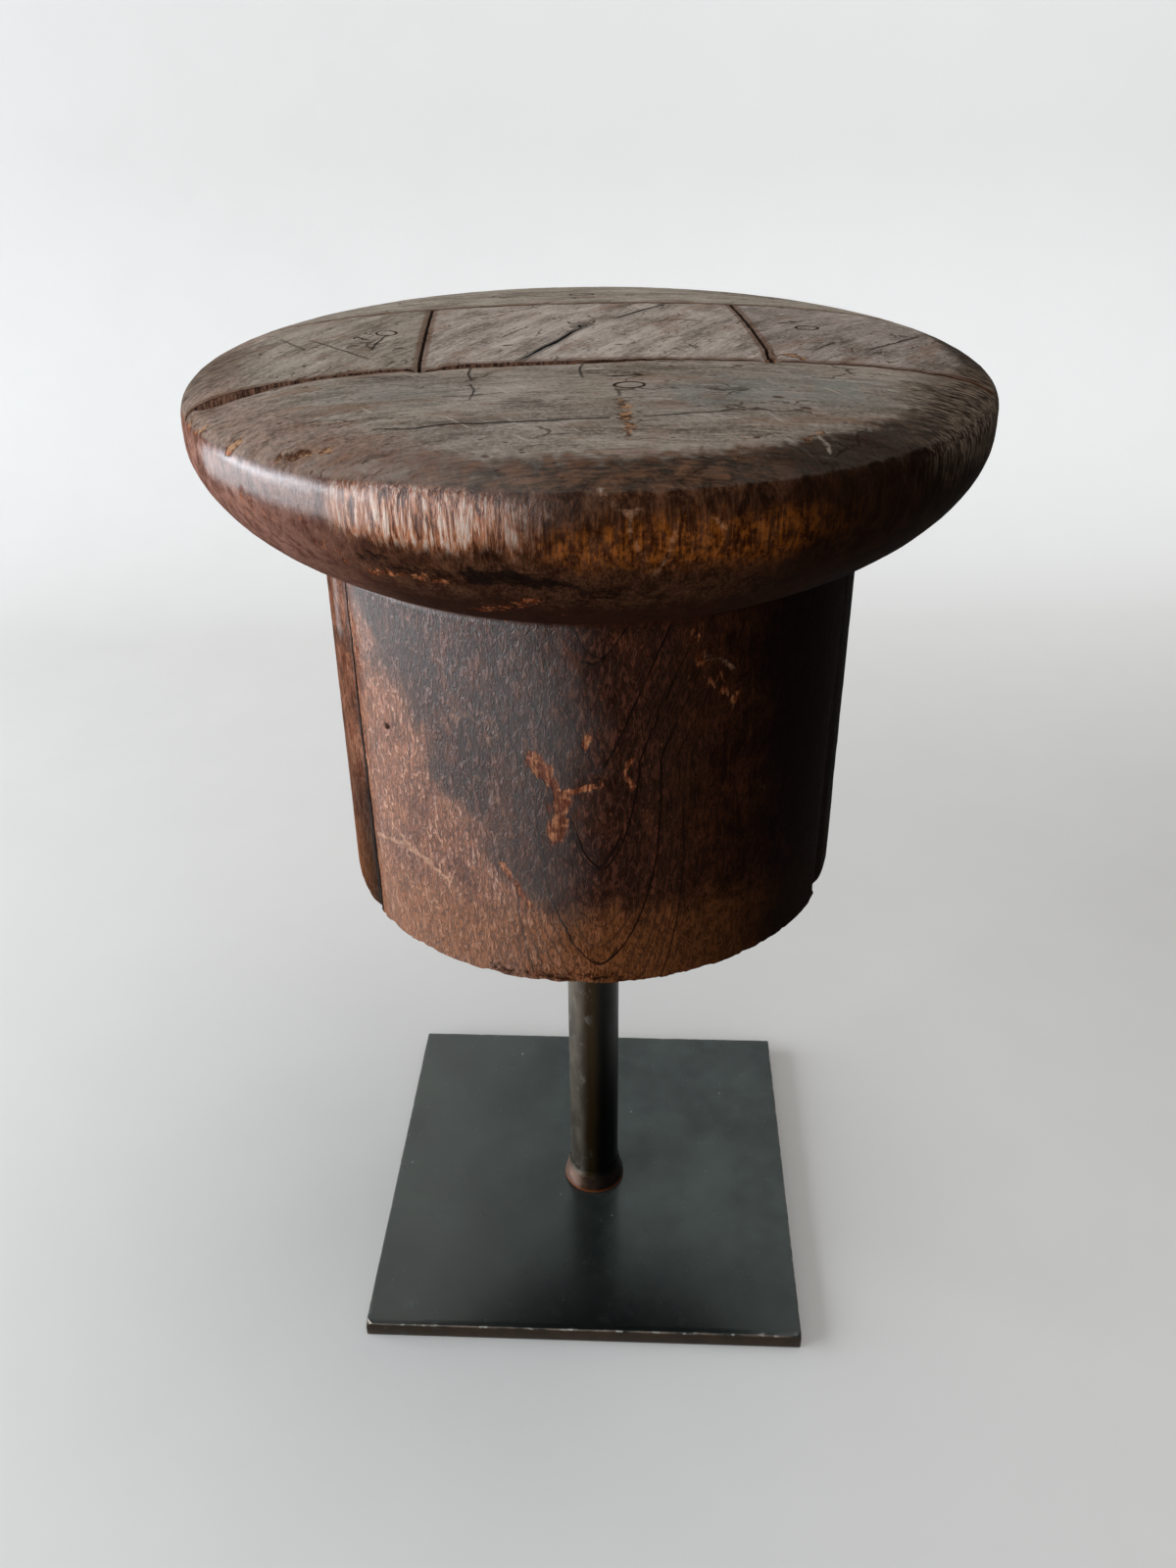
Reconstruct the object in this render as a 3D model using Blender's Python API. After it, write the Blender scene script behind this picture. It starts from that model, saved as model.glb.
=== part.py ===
# Hat block of the kind that comes apart, on its steel stand.
# A mushroom-shaped wooden block is sawn into four outer segments round a
# rectangular key. The key is bored for the spigot of a round post, which
# stands on a square plate. Metres, +Z up. The origin lies on the post's
# axis, on the underside of the plate. The long seams run along X.

import bmesh
import bpy
from math import cos, pi, radians, sin, sqrt
from mathutils import Matrix

# Clearances
SEAT_GAP = 0.0003           # between pieces that rest on or are fixed to each other
SEAM_GAP = 0.0006           # between neighbouring wooden segments
RUNNING_GAP = 0.0001        # round the spigot, inside the rest disc
BORE_GAP = 0.0005           # round the spigot, inside the key
SPLINE_PLAY = 0.0004        # round a spline, in the side segment it guides

# Plate
PLATE_SIDE = 0.175
PLATE_THICKNESS = 0.007
PLATE_ARRIS = 0.0006        # worn edge of the plate
PLATE_TURN = radians(-5.5)  # the plate stands at this angle to the block's seams
PLATE_OFFSET_X = -0.0015    # from the post's axis to the plate's middle
PLATE_OFFSET_Y = 0.0035

# Post, with the spigot turned on its upper end
POST_DIAMETER = 0.021
SPIGOT_DIAMETER = 0.016
SPIGOT_LENGTH = 0.085       # what stands above the rest disc
SPIGOT_CHAMFER = 0.002
BEAD_REACH = 0.0029         # braze round the post's foot, a swelling bead
BEAD_RISE = 0.0105
BEAD_LIP = 0.0004           # its wall at the upper end
BLOCK_CLEARANCE = 0.180     # from the plate's top to the wood's underside

# Disc on the post's shoulder that carries all five wooden pieces
REST_DISC_THICKNESS = 0.004
REST_DISC_INSET = 0.009     # how far its edge stays inside the drum's wall

# Turned outline of the block, measured from the wood's underside
DRUM_DIAMETER = 0.178
CROWN_DIAMETER = 0.253
BELLY_HEIGHT = 0.1655       # level of the crown's greatest width
FLANK_DEPTH = 0.057         # below the belly, where the flank would reach the axis
FLANK_POWER = 1.83
EDGE_HEIGHT = 0.0175        # above the belly, the flat top without its dome
EDGE_POWER = 5.5
DOME_RISE = 0.0072

# The sawn pieces
KEY_LENGTH = 0.101          # along X
KEY_WIDTH = 0.084           # along Y
BORE_HEADROOM = 0.005       # air above the spigot
FOOT_ROUND_FRONT = 0.0010   # worn lower arris of each segment
FOOT_ROUND_BACK = 0.0010
FOOT_ROUND_LEFT = 0.0025
FOOT_ROUND_RIGHT = 0.0055

# Splines that keep the side segments level with the front and back ones
SPLINE_LENGTH = 0.016
SPLINE_HEIGHT = 0.010
SPLINE_DEPTH = 0.006        # into the wood on each side of the seam
SPLINE_DROP = 0.0155        # from the belly down to the spline's middle
SPLINE_END_GAP = 0.0015     # from the key's side to the spline's near end
GROOVE_RIM_WOOD = 0.013     # wood left between a groove's end and the rim

# Facets
TURN_STEPS = 96
BORE_STEPS = 64
FLANK_RINGS = 11
EDGE_RINGS = 6
TOP_RINGS = 8
ROUND_STEPS = 4
BEAD_STEPS = 8

plate_top = PLATE_THICKNESS
wood_base = plate_top + BLOCK_CLEARANCE
drum_radius = DRUM_DIAMETER / 2
crown_radius = CROWN_DIAMETER / 2
post_radius = POST_DIAMETER / 2
spigot_radius = SPIGOT_DIAMETER / 2
rest_disc_top = wood_base - SEAT_GAP
rest_disc_base = rest_disc_top - REST_DISC_THICKNESS
shoulder_height = rest_disc_base - SEAT_GAP
spigot_top = rest_disc_top + SPIGOT_LENGTH
key_half_x = KEY_LENGTH / 2
key_half_y = KEY_WIDTH / 2
side_face = key_half_x + SEAM_GAP       # inner faces of the left and right segments
long_face = key_half_y + SEAM_GAP       # inner faces of the front and back segments


def clear_scene():
    for thing in list(bpy.data.objects):
        bpy.data.objects.remove(thing, do_unlink=True)


def make_collection(name):
    collection = bpy.data.collections.new(name)
    bpy.context.scene.collection.children.link(collection)
    return collection


def make_finish(name, colour, roughness, metallic):
    material = bpy.data.materials.new(name)
    material.use_nodes = True
    shader = material.node_tree.nodes["Principled BSDF"]
    shader.inputs["Base Color"].default_value = (*colour, 1.0)
    shader.inputs["Roughness"].default_value = roughness
    shader.inputs["Metallic"].default_value = metallic
    return material


def make_object(name, bm, collection, material=None, round_piece=False):
    bmesh.ops.recalc_face_normals(bm, faces=bm.faces)
    mesh = bpy.data.meshes.new(name)
    bm.to_mesh(mesh)
    bm.free()
    if round_piece:
        mesh.shade_smooth()
        mesh.set_sharp_from_angle(angle=radians(35))
    if material:
        mesh.materials.append(material)
    thing = bpy.data.objects.new(name, mesh)
    collection.objects.link(thing)
    return thing


def turn_outline(outline, steps):
    # Spins (radius, height) points about Z into one closed body.
    bm = bmesh.new()
    verts = [bm.verts.new((radius, 0.0, height)) for radius, height in outline]
    edges = [bm.edges.new(pair) for pair in zip(verts, verts[1:])]
    if outline[0][0] > 0.0:
        edges.append(bm.edges.new((verts[-1], verts[0])))
    bmesh.ops.spin(bm, geom=verts + edges, cent=(0, 0, 0), axis=(0, 0, 1),
                   angle=2 * pi, steps=steps, use_merge=True)
    bmesh.ops.remove_doubles(bm, verts=bm.verts, dist=1e-6)
    return bm


def box_between(low, high):
    bm = bmesh.new()
    size = [b - a for a, b in zip(low, high)]
    middle = [(a + b) / 2 for a, b in zip(low, high)]
    bmesh.ops.create_cube(bm, size=1.0,
                          matrix=Matrix.Translation(middle) @ Matrix.Diagonal((*size, 1.0)))
    return bm


def span(first, second):
    return min(first, second), max(first, second)


def make_cutter(name, bm):
    cutter = make_object(name, bm, cutters)
    cutter.hide_render = True
    cutter.display_type = "WIRE"
    return cutter


def cut(thing, cutter, operation):
    modifier = thing.modifiers.new(cutter.name, "BOOLEAN")
    modifier.operation = operation
    modifier.solver = "EXACT"
    modifier.object = cutter


def flank_radius(drop):
    # Radius of the crown's underside at a drop below the belly.
    return crown_radius * (1 - (drop / FLANK_DEPTH) ** FLANK_POWER) ** (1 / FLANK_POWER)


def block_outline(foot_round):
    # Half section of the block, from the middle of its underside to the crown's top.
    points = [(0.0, wood_base)]
    for step in range(ROUND_STEPS + 1):
        angle = pi / 2 * step / ROUND_STEPS
        points.append((drum_radius - foot_round * (1 - sin(angle)),
                       wood_base + foot_round * (1 - cos(angle))))
    belly = wood_base + BELLY_HEIGHT
    reach = (drum_radius / crown_radius) ** FLANK_POWER
    junction_drop = FLANK_DEPTH * (1 - reach) ** (1 / FLANK_POWER)
    for ring in range(FLANK_RINGS + 1):
        drop = junction_drop * sin(pi / 2 * (1 - ring / FLANK_RINGS))
        points.append((flank_radius(drop), belly - drop))
    level = 0.0
    for ring in range(1, EDGE_RINGS + 1):
        level = 0.8 * ring / EDGE_RINGS
        share = (1 - level ** EDGE_POWER) ** (1 / EDGE_POWER)
        points.append((crown_radius * share,
                       belly + EDGE_HEIGHT * level + DOME_RISE * (1 - share ** 2)))
    last_share = (1 - level ** EDGE_POWER) ** (1 / EDGE_POWER)
    for ring in range(1, TOP_RINGS + 1):
        share = last_share * cos(pi / 2 * ring / TOP_RINGS) if ring < TOP_RINGS else 0.0
        rise = EDGE_HEIGHT * (1 - share ** EDGE_POWER) ** (1 / EDGE_POWER)
        points.append((crown_radius * share, belly + rise + DOME_RISE * (1 - share ** 2)))
    return points


def make_segment(name, foot_round, low, high, material):
    # One wooden piece: the turned block, kept only inside the box from low to high.
    blank = turn_outline(block_outline(foot_round), TURN_STEPS)
    segment = make_object(name, blank, parts, material, round_piece=True)
    cut(segment, make_cutter(name + "_limits", box_between(low, high)), "INTERSECT")
    return segment


clear_scene()
parts = make_collection("hat_block")
cutters = make_collection("hat_block_cutters")

# The stand
plate_steel = make_finish("base_plate_steel", (0.045, 0.050, 0.048), 0.42, 0.85)
post_steel = make_finish("post_steel", (0.050, 0.042, 0.035), 0.38, 0.90)
braze = make_finish("foot_braze", (0.165, 0.075, 0.045), 0.50, 0.80)
disc_steel = make_finish("rest_disc_steel", (0.060, 0.060, 0.058), 0.45, 0.90)

bm = box_between((-PLATE_SIDE / 2, -PLATE_SIDE / 2, 0.0),
                 (PLATE_SIDE / 2, PLATE_SIDE / 2, plate_top))
bmesh.ops.bevel(bm, geom=bm.edges[:], offset=PLATE_ARRIS, segments=2, profile=0.5,
                affect="EDGES", material=-1)
bmesh.ops.rotate(bm, verts=bm.verts, cent=(0, 0, 0), matrix=Matrix.Rotation(PLATE_TURN, 3, "Z"))
bmesh.ops.translate(bm, verts=bm.verts, vec=(PLATE_OFFSET_X, PLATE_OFFSET_Y, 0.0))
make_object("base_plate", bm, parts, plate_steel)

post_foot = plate_top + SEAT_GAP
bm = turn_outline([(0.0, post_foot), (post_radius, post_foot), (post_radius, shoulder_height),
                   (spigot_radius, shoulder_height),
                   (spigot_radius, spigot_top - SPIGOT_CHAMFER),
                   (spigot_radius - SPIGOT_CHAMFER, spigot_top), (0.0, spigot_top)], BORE_STEPS)
make_object("post", bm, parts, post_steel, round_piece=True)

# Bead of braze, widest on the plate and dying out up the post
bead_bore = post_radius + SEAT_GAP
bead = [(bead_bore, post_foot)]
for step in range(BEAD_STEPS + 1):
    share = step / BEAD_STEPS
    bead.append((bead_bore + BEAD_LIP + (BEAD_REACH - BEAD_LIP) * (1 - share ** 2),
                 post_foot + BEAD_RISE * share))
bead.append((bead_bore, post_foot + BEAD_RISE))
make_object("foot_fillet", turn_outline(bead, BORE_STEPS), parts, braze, round_piece=True)

disc_radius = drum_radius - REST_DISC_INSET
disc_bore = (spigot_radius + RUNNING_GAP) / cos(pi / BORE_STEPS)
bm = turn_outline([(disc_bore, rest_disc_base), (disc_radius, rest_disc_base),
                   (disc_radius, rest_disc_top), (disc_bore, rest_disc_top)], BORE_STEPS)
make_object("rest_disc", bm, parts, disc_steel, round_piece=True)

# The wooden segments and the key
front_wood = make_finish("front_segment_wood", (0.150, 0.072, 0.045), 0.48, 0.0)
back_wood = make_finish("back_segment_wood", (0.140, 0.070, 0.045), 0.50, 0.0)
left_wood = make_finish("left_segment_wood", (0.175, 0.095, 0.065), 0.52, 0.0)
right_wood = make_finish("right_segment_wood", (0.130, 0.075, 0.052), 0.52, 0.0)
key_wood = make_finish("center_key_wood", (0.260, 0.205, 0.165), 0.62, 0.0)
spline_wood = make_finish("spline_wood", (0.420, 0.290, 0.170), 0.65, 0.0)

outside = crown_radius * 1.5
below = wood_base - 0.01
above = wood_base + BELLY_HEIGHT + EDGE_HEIGHT + DOME_RISE + 0.01

front = make_segment("front_segment", FOOT_ROUND_FRONT,
                     (-outside, -outside, below), (outside, -long_face, above), front_wood)
back = make_segment("back_segment", FOOT_ROUND_BACK,
                    (-outside, long_face, below), (outside, outside, above), back_wood)
left = make_segment("left_segment", FOOT_ROUND_LEFT,
                    (-outside, -key_half_y, below), (-side_face, key_half_y, above), left_wood)
right = make_segment("right_segment", FOOT_ROUND_RIGHT,
                     (side_face, -key_half_y, below), (outside, key_half_y, above), right_wood)
key = make_segment("center_key", FOOT_ROUND_FRONT,
                   (-key_half_x, -key_half_y, below), (key_half_x, key_half_y, above), key_wood)

bore_radius = (spigot_radius + BORE_GAP) / cos(pi / BORE_STEPS)
bore_top = spigot_top + BORE_HEADROOM
bm = turn_outline([(0.0, below), (bore_radius, below), (bore_radius, bore_top), (0.0, bore_top)],
                  BORE_STEPS)
cut(key, make_cutter("key_bore", bm), "DIFFERENCE")

# Splines across the four long seams, glued into the front and back segments
spline_level = wood_base + BELLY_HEIGHT - SPLINE_DROP
spline_near = side_face + SPLINE_END_GAP
spline_far = spline_near + SPLINE_LENGTH
groove_reach = flank_radius(SPLINE_DROP + SPLINE_HEIGHT / 2)
groove_far = sqrt(groove_reach ** 2 - key_half_y ** 2) - GROOVE_RIM_WOOD

for long_name, holder, facing in (("front", front, -1), ("back", back, 1)):
    for side_name, guided, hand in (("left", left, -1), ("right", right, 1)):
        seam = side_name + "_" + long_name

        # The spline reaches equally deep into both faces of the seam.
        x_low, x_high = span(hand * spline_near, hand * spline_far)
        y_low, y_high = span(facing * (key_half_y - SPLINE_DEPTH),
                             facing * (long_face + SPLINE_DEPTH))
        half = SPLINE_HEIGHT / 2
        make_object("spline_" + seam,
                    box_between((x_low, y_low, spline_level - half),
                                (x_high, y_high, spline_level + half)), parts, spline_wood)

        # Its slot in the front or back segment fits all round.
        mouth = facing * (key_half_y - SPLINE_DEPTH)
        slot_low, slot_high = span(mouth, facing * (long_face + SPLINE_DEPTH + SEAT_GAP))
        slot = box_between((x_low - SEAT_GAP, slot_low, spline_level - half - SEAT_GAP),
                           (x_high + SEAT_GAP, slot_high, spline_level + half + SEAT_GAP))
        cut(holder, make_cutter("slot_" + seam, slot), "DIFFERENCE")

        # The side segment's groove is open towards the key and stops short of the rim.
        x_low, x_high = span(hand * key_half_x * 0.9, hand * groove_far)
        y_low, y_high = span(facing * (key_half_y - SPLINE_DEPTH - SPLINE_PLAY),
                             facing * (long_face + SPLINE_DEPTH))
        groove = box_between((x_low, y_low, spline_level - half - SPLINE_PLAY),
                             (x_high, y_high, spline_level + half + SPLINE_PLAY))
        cut(guided, make_cutter("groove_" + seam, groove), "DIFFERENCE")
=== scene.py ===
from math import ceil, cos, hypot, pi, radians, sin

import bmesh
import bpy
import numpy as np
from mathutils import Matrix, Vector, kdtree, noise


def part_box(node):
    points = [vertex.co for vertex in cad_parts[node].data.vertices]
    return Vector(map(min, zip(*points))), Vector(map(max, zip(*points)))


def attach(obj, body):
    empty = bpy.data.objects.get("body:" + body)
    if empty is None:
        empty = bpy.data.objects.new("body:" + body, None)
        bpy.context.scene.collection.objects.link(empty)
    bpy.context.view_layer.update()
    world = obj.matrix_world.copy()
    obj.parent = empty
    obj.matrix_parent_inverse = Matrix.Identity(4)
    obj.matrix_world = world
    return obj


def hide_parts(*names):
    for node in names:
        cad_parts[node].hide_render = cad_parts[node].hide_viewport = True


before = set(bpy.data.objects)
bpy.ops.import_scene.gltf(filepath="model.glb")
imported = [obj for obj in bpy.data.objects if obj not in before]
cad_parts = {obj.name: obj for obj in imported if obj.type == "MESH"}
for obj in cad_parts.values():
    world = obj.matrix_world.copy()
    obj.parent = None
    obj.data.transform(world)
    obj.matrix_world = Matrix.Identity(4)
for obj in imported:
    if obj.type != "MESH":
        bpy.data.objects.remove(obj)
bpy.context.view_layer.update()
mm = 0.001
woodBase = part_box("center_key")[0].z
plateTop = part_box("base_plate")[1].z
print("frame loaded")

camera = {
    "place": (-0.0230, -0.4261, 0.4616),
    "turn": 2.89,           # degrees to the right of +Y
    "tilt": 30.42,          # degrees below level
    "roll": -0.49,
    "lens": 30.17,          # mm, on a sensor 36 mm high
    "sensor": 36.0,
}

room = {
    "halfWidth": 2.2,
    "front": -1.6,
    "bendStart": 0.62,      # where the floor starts to turn up into the backdrop
    "bendRadius": 0.35,
    "height": 2.2,
    "bendSteps": 16,
    "tone": "dfdedb",
    "cloudTone": "e5e4e1",  # the floor's paler clouds
    "bounce": "8f8373",     # what the floor throws back at the object
    "glowLeft": "2b2c2e",   # evens out the backdrop for the camera
    "glowRight": "a2a4a6",
    "skyTone": (0.86, 0.92, 1.0, 1.0),
    "skyStrength": 0.16,
}

lamps = {
    "window": {"place": (-1.28, -0.12, 0.46), "aim": (0.0, 0.0, 0.32), "width": 1.5,
               "height": 0.75, "power": 24.0, "tint": (0.87, 0.93, 1.0)},
    "skylight": {"place": (0.42, 0.10, 2.1), "aim": (0.0, 0.0, 0.3), "width": 1.5,
                 "height": 1.5, "power": 16.5, "tint": (1.0, 0.99, 0.98)},
    "frontFill": {"place": (-0.5, -1.7, 1.2), "aim": (0.0, 0.0, 0.25), "width": 1.4,
                  "height": 1.0, "power": 6.5, "tint": (1.0, 0.97, 0.93)},
}


class Wire:
    # One shader socket. Sums on it add Math nodes, and node() adds any other node beside it.
    def __init__(self, tree, socket):
        self.tree = tree
        self.socket = socket

    def node(self, kind, settings=None, inputs=None, output=0):
        made = self.tree.nodes.new("ShaderNode" + kind)
        for key, value in (settings or {}).items():
            setattr(made, key, value)
        for key, value in (inputs or {}).items():
            if isinstance(value, Wire):
                self.tree.links.new(value.socket, made.inputs[key])
            else:
                made.inputs[key].default_value = value
        return Wire(self.tree, made.outputs[output])

    def math(self, operation, *values):
        return self.node("Math", {"operation": operation}, dict(enumerate(values)))

    def vector(self, operation, *values, output=0):
        inputs = dict(enumerate((self,) + values))
        return self.node("VectorMath", {"operation": operation}, inputs, output)

    def parts(self):
        split = self.node("SeparateXYZ", None, {0: self}).socket.node
        return [Wire(self.tree, socket) for socket in split.outputs]

    def __add__(self, other):
        return self.math("ADD", self, other)

    __radd__ = __add__

    def __sub__(self, other):
        return self.math("SUBTRACT", self, other)

    def __rsub__(self, other):
        return self.math("SUBTRACT", other, self)

    def __mul__(self, other):
        return self.math("MULTIPLY", self, other)

    __rmul__ = __mul__

    def __truediv__(self, other):
        return self.math("DIVIDE", self, other)

    def __pow__(self, other):
        return self.math("POWER", self, other)

    def __abs__(self):
        return self.math("ABSOLUTE", self)


def tone(code):
    # A colour written as in a paint chart, six hexadecimal digits, as linear values.
    shares = [int(code[i:i + 2], 16) / 255 for i in (0, 2, 4)]
    return tuple(s / 12.92 if s < 0.04045 else ((s + 0.055) / 1.055) ** 2.4 for s in shares) + (1.0,)


def startFinish(name, **constants):
    material = bpy.data.materials.new(name)
    material.use_nodes = True
    tree = material.node_tree
    shader = tree.nodes["Principled BSDF"]
    for key, value in constants.items():
        shader.inputs[key.replace("_", " ")].default_value = value
    corner = Wire(tree, tree.nodes.new("ShaderNodeTexCoord").outputs["Object"])
    place = corner.node("VectorMath", {"operation": "SCALE"}, {0: corner, "Scale": 1 / mm})
    return material, place


def endFinish(material, colour, roughness, height, metallic=None, coat=None, dull=None):
    # Height is in mm. Where dull is 1 the surface shows next to no gloss.
    tree = material.node_tree
    shader = tree.nodes["Principled BSDF"]
    relief = height.node("Bump", None, {"Strength": 1.0, "Distance": mm, "Height": height})
    varying = {"Base Color": colour, "Roughness": roughness, "Normal": relief,
               "Metallic": metallic, "Coat Weight": coat}
    for key, wire in varying.items():
        if wire:
            tree.links.new(wire.socket, shader.inputs[key])
    if dull:
        matt = colour.node("BsdfPrincipled", None, {"Base Color": colour, "Normal": relief,
                                                    "Roughness": 0.95, "Specular IOR Level": 0.04})
        both = dull.node("MixShader", None, {0: dull, 2: matt})
        tree.links.new(shader.outputs["BSDF"], both.socket.node.inputs[1])
        tree.links.new(both.socket, tree.nodes["Material Output"].inputs["Surface"])
    return material


def cloud(place, size, detail=3.0, roughness=0.55, warp=0.0):
    # Noise between 0 and 1 with spots of about this size in mm.
    return place.node("TexNoise", None, {"Vector": place, "Scale": 1 / size, "Detail": detail,
                                         "Roughness": roughness, "Distortion": warp})


def stretched(place, x, y, z):
    return place.vector("MULTIPLY", (1 / x, 1 / y, 1 / z))


def shifted(place, x, y, z):
    return place.vector("ADD", (x, y, z))


def swung(place, angle):
    return place.node("Mapping", None, {"Vector": place, "Rotation": (0, 0, angle)})


def drift(place, size):
    return place.node("TexNoise", None, {"Vector": place, "Scale": 1 / size}, 1)


def cells(place, size, feature="F1"):
    # Distance to scattered points about this many mm apart, or to the borders between them.
    return place.node("TexVoronoi", {"feature": feature}, {"Vector": place, "Scale": 1 / size})


def ease(value, low, high):
    inputs = {"Value": value, "From Min": low, "From Max": high}
    return value.node("MapRange", {"interpolation_type": "SMOOTHSTEP"}, inputs)


def paint(under, over, mask):
    # Lays one colour over another where the mask is 1. A text is a stain's name or six digits.
    wire = next(part for part in (mask, under, over) if isinstance(part, Wire))
    colours = [tone(stains.get(part, part)) if isinstance(part, str) else part for part in (under, over)]
    return wire.node("Mix", {"data_type": "RGBA"}, {0: mask, 6: colours[0], 7: colours[1]}, 2)


def shades(stain, mask):
    return paint(stain + "Dark", stain + "Light", mask)


def layered(colour, *rows):
    for over, mask in rows:
        colour = paint(colour, over, mask)
    return colour


def painted(place, name):
    return place.node("Attribute", {"attribute_name": name}, None, 2)


def ragged(mask, grain, softness=0.12):
    # Gives a softly painted mask a torn border that follows a noise.
    return ease(mask + (grain - 0.5) * 0.9, 0.5 - softness, 0.5 + softness)


# The turned block, before it is sawn
blank = {
    "crownRadius": -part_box("front_segment")[0].y,
    "drumRadius": 0.089,
    "bellyHeight": 0.1655,      # from the underside to the widest place
    "flankDepth": 0.057,
    "flankPower": 1.83,
    "edgeHeight": 0.0175,
    "edgePower": 5.5,
    "domeRise": 0.0072,
    "flatMargin": 0.0065,       # border of the underside that may be ragged
    "spacing": 0.0014,          # between rings
    "spinSteps": 560,
    "edgeRings": 13,
    "edgeShare": 0.8,           # of the edge height, above it the rings are spaced by radius
    "flankRings": 44,
}
belly = woodBase + blank["bellyHeight"]
flankShare = (blank["drumRadius"] / blank["crownRadius"]) ** blank["flankPower"]
flankDrop = blank["flankDepth"] * (1 - flankShare) ** (1 / blank["flankPower"])
junction = belly - flankDrop


def flankRadius(drop):
    share = (drop / blank["flankDepth"]) ** blank["flankPower"]
    return blank["crownRadius"] * (1 - share) ** (1 / blank["flankPower"])


def topHeight(radius):
    share = min(radius / blank["crownRadius"], 1.0)
    rise = blank["edgeHeight"] * (1 - share ** blank["edgePower"]) ** (1 / blank["edgePower"])
    return belly + rise + blank["domeRise"] * (1 - share ** 2)


def sideRadius(height):
    if height <= junction:
        return blank["drumRadius"]
    if height <= belly:
        return flankRadius(belly - height)
    low, high = 0.5 * blank["crownRadius"], blank["crownRadius"]
    for step in range(30):
        middle = (low + high) / 2
        low, high = (middle, high) if topHeight(middle) > height else (low, middle)
    return low


def blockOutline(footRound, reach=None):
    # Half section from the middle of the underside, up the wall and back to the middle of the top.
    drum, crown, spacing = blank["drumRadius"], blank["crownRadius"], blank["spacing"]
    points = [(0.0, woodBase), (drum - blank["flatMargin"], woodBase)]
    for angle in np.linspace(0, pi / 2, 7):
        points.append((drum - footRound * (1 - sin(angle)), woodBase + footRound * (1 - cos(angle))))
    wallRings = round((junction - woodBase - footRound) / spacing)
    for height in np.linspace(woodBase + footRound, junction, wallRings)[1:-1]:
        points.append((drum, height))
    for ring in range(blank["flankRings"] + 1):
        drop = flankDrop * sin(pi / 2 * (1 - ring / blank["flankRings"]))
        points.append((flankRadius(drop), belly - drop))
    level, power = 0.0, blank["edgePower"]
    for ring in range(1, blank["edgeRings"] + 1):
        level = blank["edgeShare"] * ring / blank["edgeRings"]
        radius = crown * (1 - level ** power) ** (1 / power)
        points.append((radius, belly + blank["edgeHeight"] * level
                       + blank["domeRise"] * (1 - (radius / crown) ** 2)))
    topRings = round(points[-1][0] / spacing)
    for radius in np.linspace(points[-1][0], 0.0, topRings + 1)[1:]:
        points.append((radius, topHeight(radius)))
    if reach:
        inner = [point for point in points if point[0] <= reach]
        points = inner[:1] + [(reach, woodBase), (reach, topHeight(reach))] + inner[1:]
    return points


def turnOutline(outline, steps, wedges=16):
    # One narrow wedge is spun and then repeated round the axis, far quicker than one long spin.
    bm = bmesh.new()
    verts = [bm.verts.new((radius, 0.0, height)) for radius, height in outline]
    edges = [bm.edges.new(pair) for pair in zip(verts, verts[1:])]
    if outline[0][0] > 0:
        edges.append(bm.edges.new((verts[-1], verts[0])))
    wedge = 2 * pi / wedges
    bmesh.ops.spin(bm, geom=verts + edges, cent=(0, 0, 0), axis=(0, 0, 1), angle=wedge,
                   steps=steps // wedges)
    bmesh.ops.spin(bm, geom=bm.verts[:] + bm.edges[:] + bm.faces[:], cent=(0, 0, 0),
                   axis=(0, 0, 1), angle=2 * pi - wedge, steps=wedges - 1, use_duplicate=True)
    bmesh.ops.remove_doubles(bm, verts=bm.verts[:], dist=1e-6)
    bmesh.ops.recalc_face_normals(bm, faces=bm.faces[:])
    return bm


def cutPlane(bm, point, normal, near=0.0, saw=False):
    # Adds edges where the plane meets the mesh. A saw cut drops what lies beyond it and is closed.
    everything = bm.verts[:] + bm.edges[:] + bm.faces[:]
    made = bmesh.ops.bisect_plane(bm, geom=everything, dist=near, plane_co=point, plane_no=normal,
                                  clear_outer=saw)
    if saw:
        rim = [part for part in made["geom_cut"] if isinstance(part, bmesh.types.BMEdge)]
        bmesh.ops.edgeloop_fill(bm, edges=rim)


sharpAngle = 40     # degrees, edges bent more than this stay sharp


def smoothMesh(mesh):
    mesh.shade_smooth()
    mesh.set_sharp_from_angle(angle=radians(sharpAngle))


def addObject(name, data):
    made = bpy.data.objects.new(name, data)
    bpy.context.scene.collection.objects.link(made)
    return made


def makePiece(name, bm, *finishes, smooth=True):
    mesh = bpy.data.meshes.new(name)
    bm.to_mesh(mesh)
    bm.free()
    if smooth:
        smoothMesh(mesh)
    for finish in finishes:
        mesh.materials.append(finish)
    return addObject(name, mesh)


def readPlaces(items, field):
    values = np.empty(len(items) * 3)
    items.foreach_get(field, values)
    return values.reshape(-1, 3)


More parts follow.
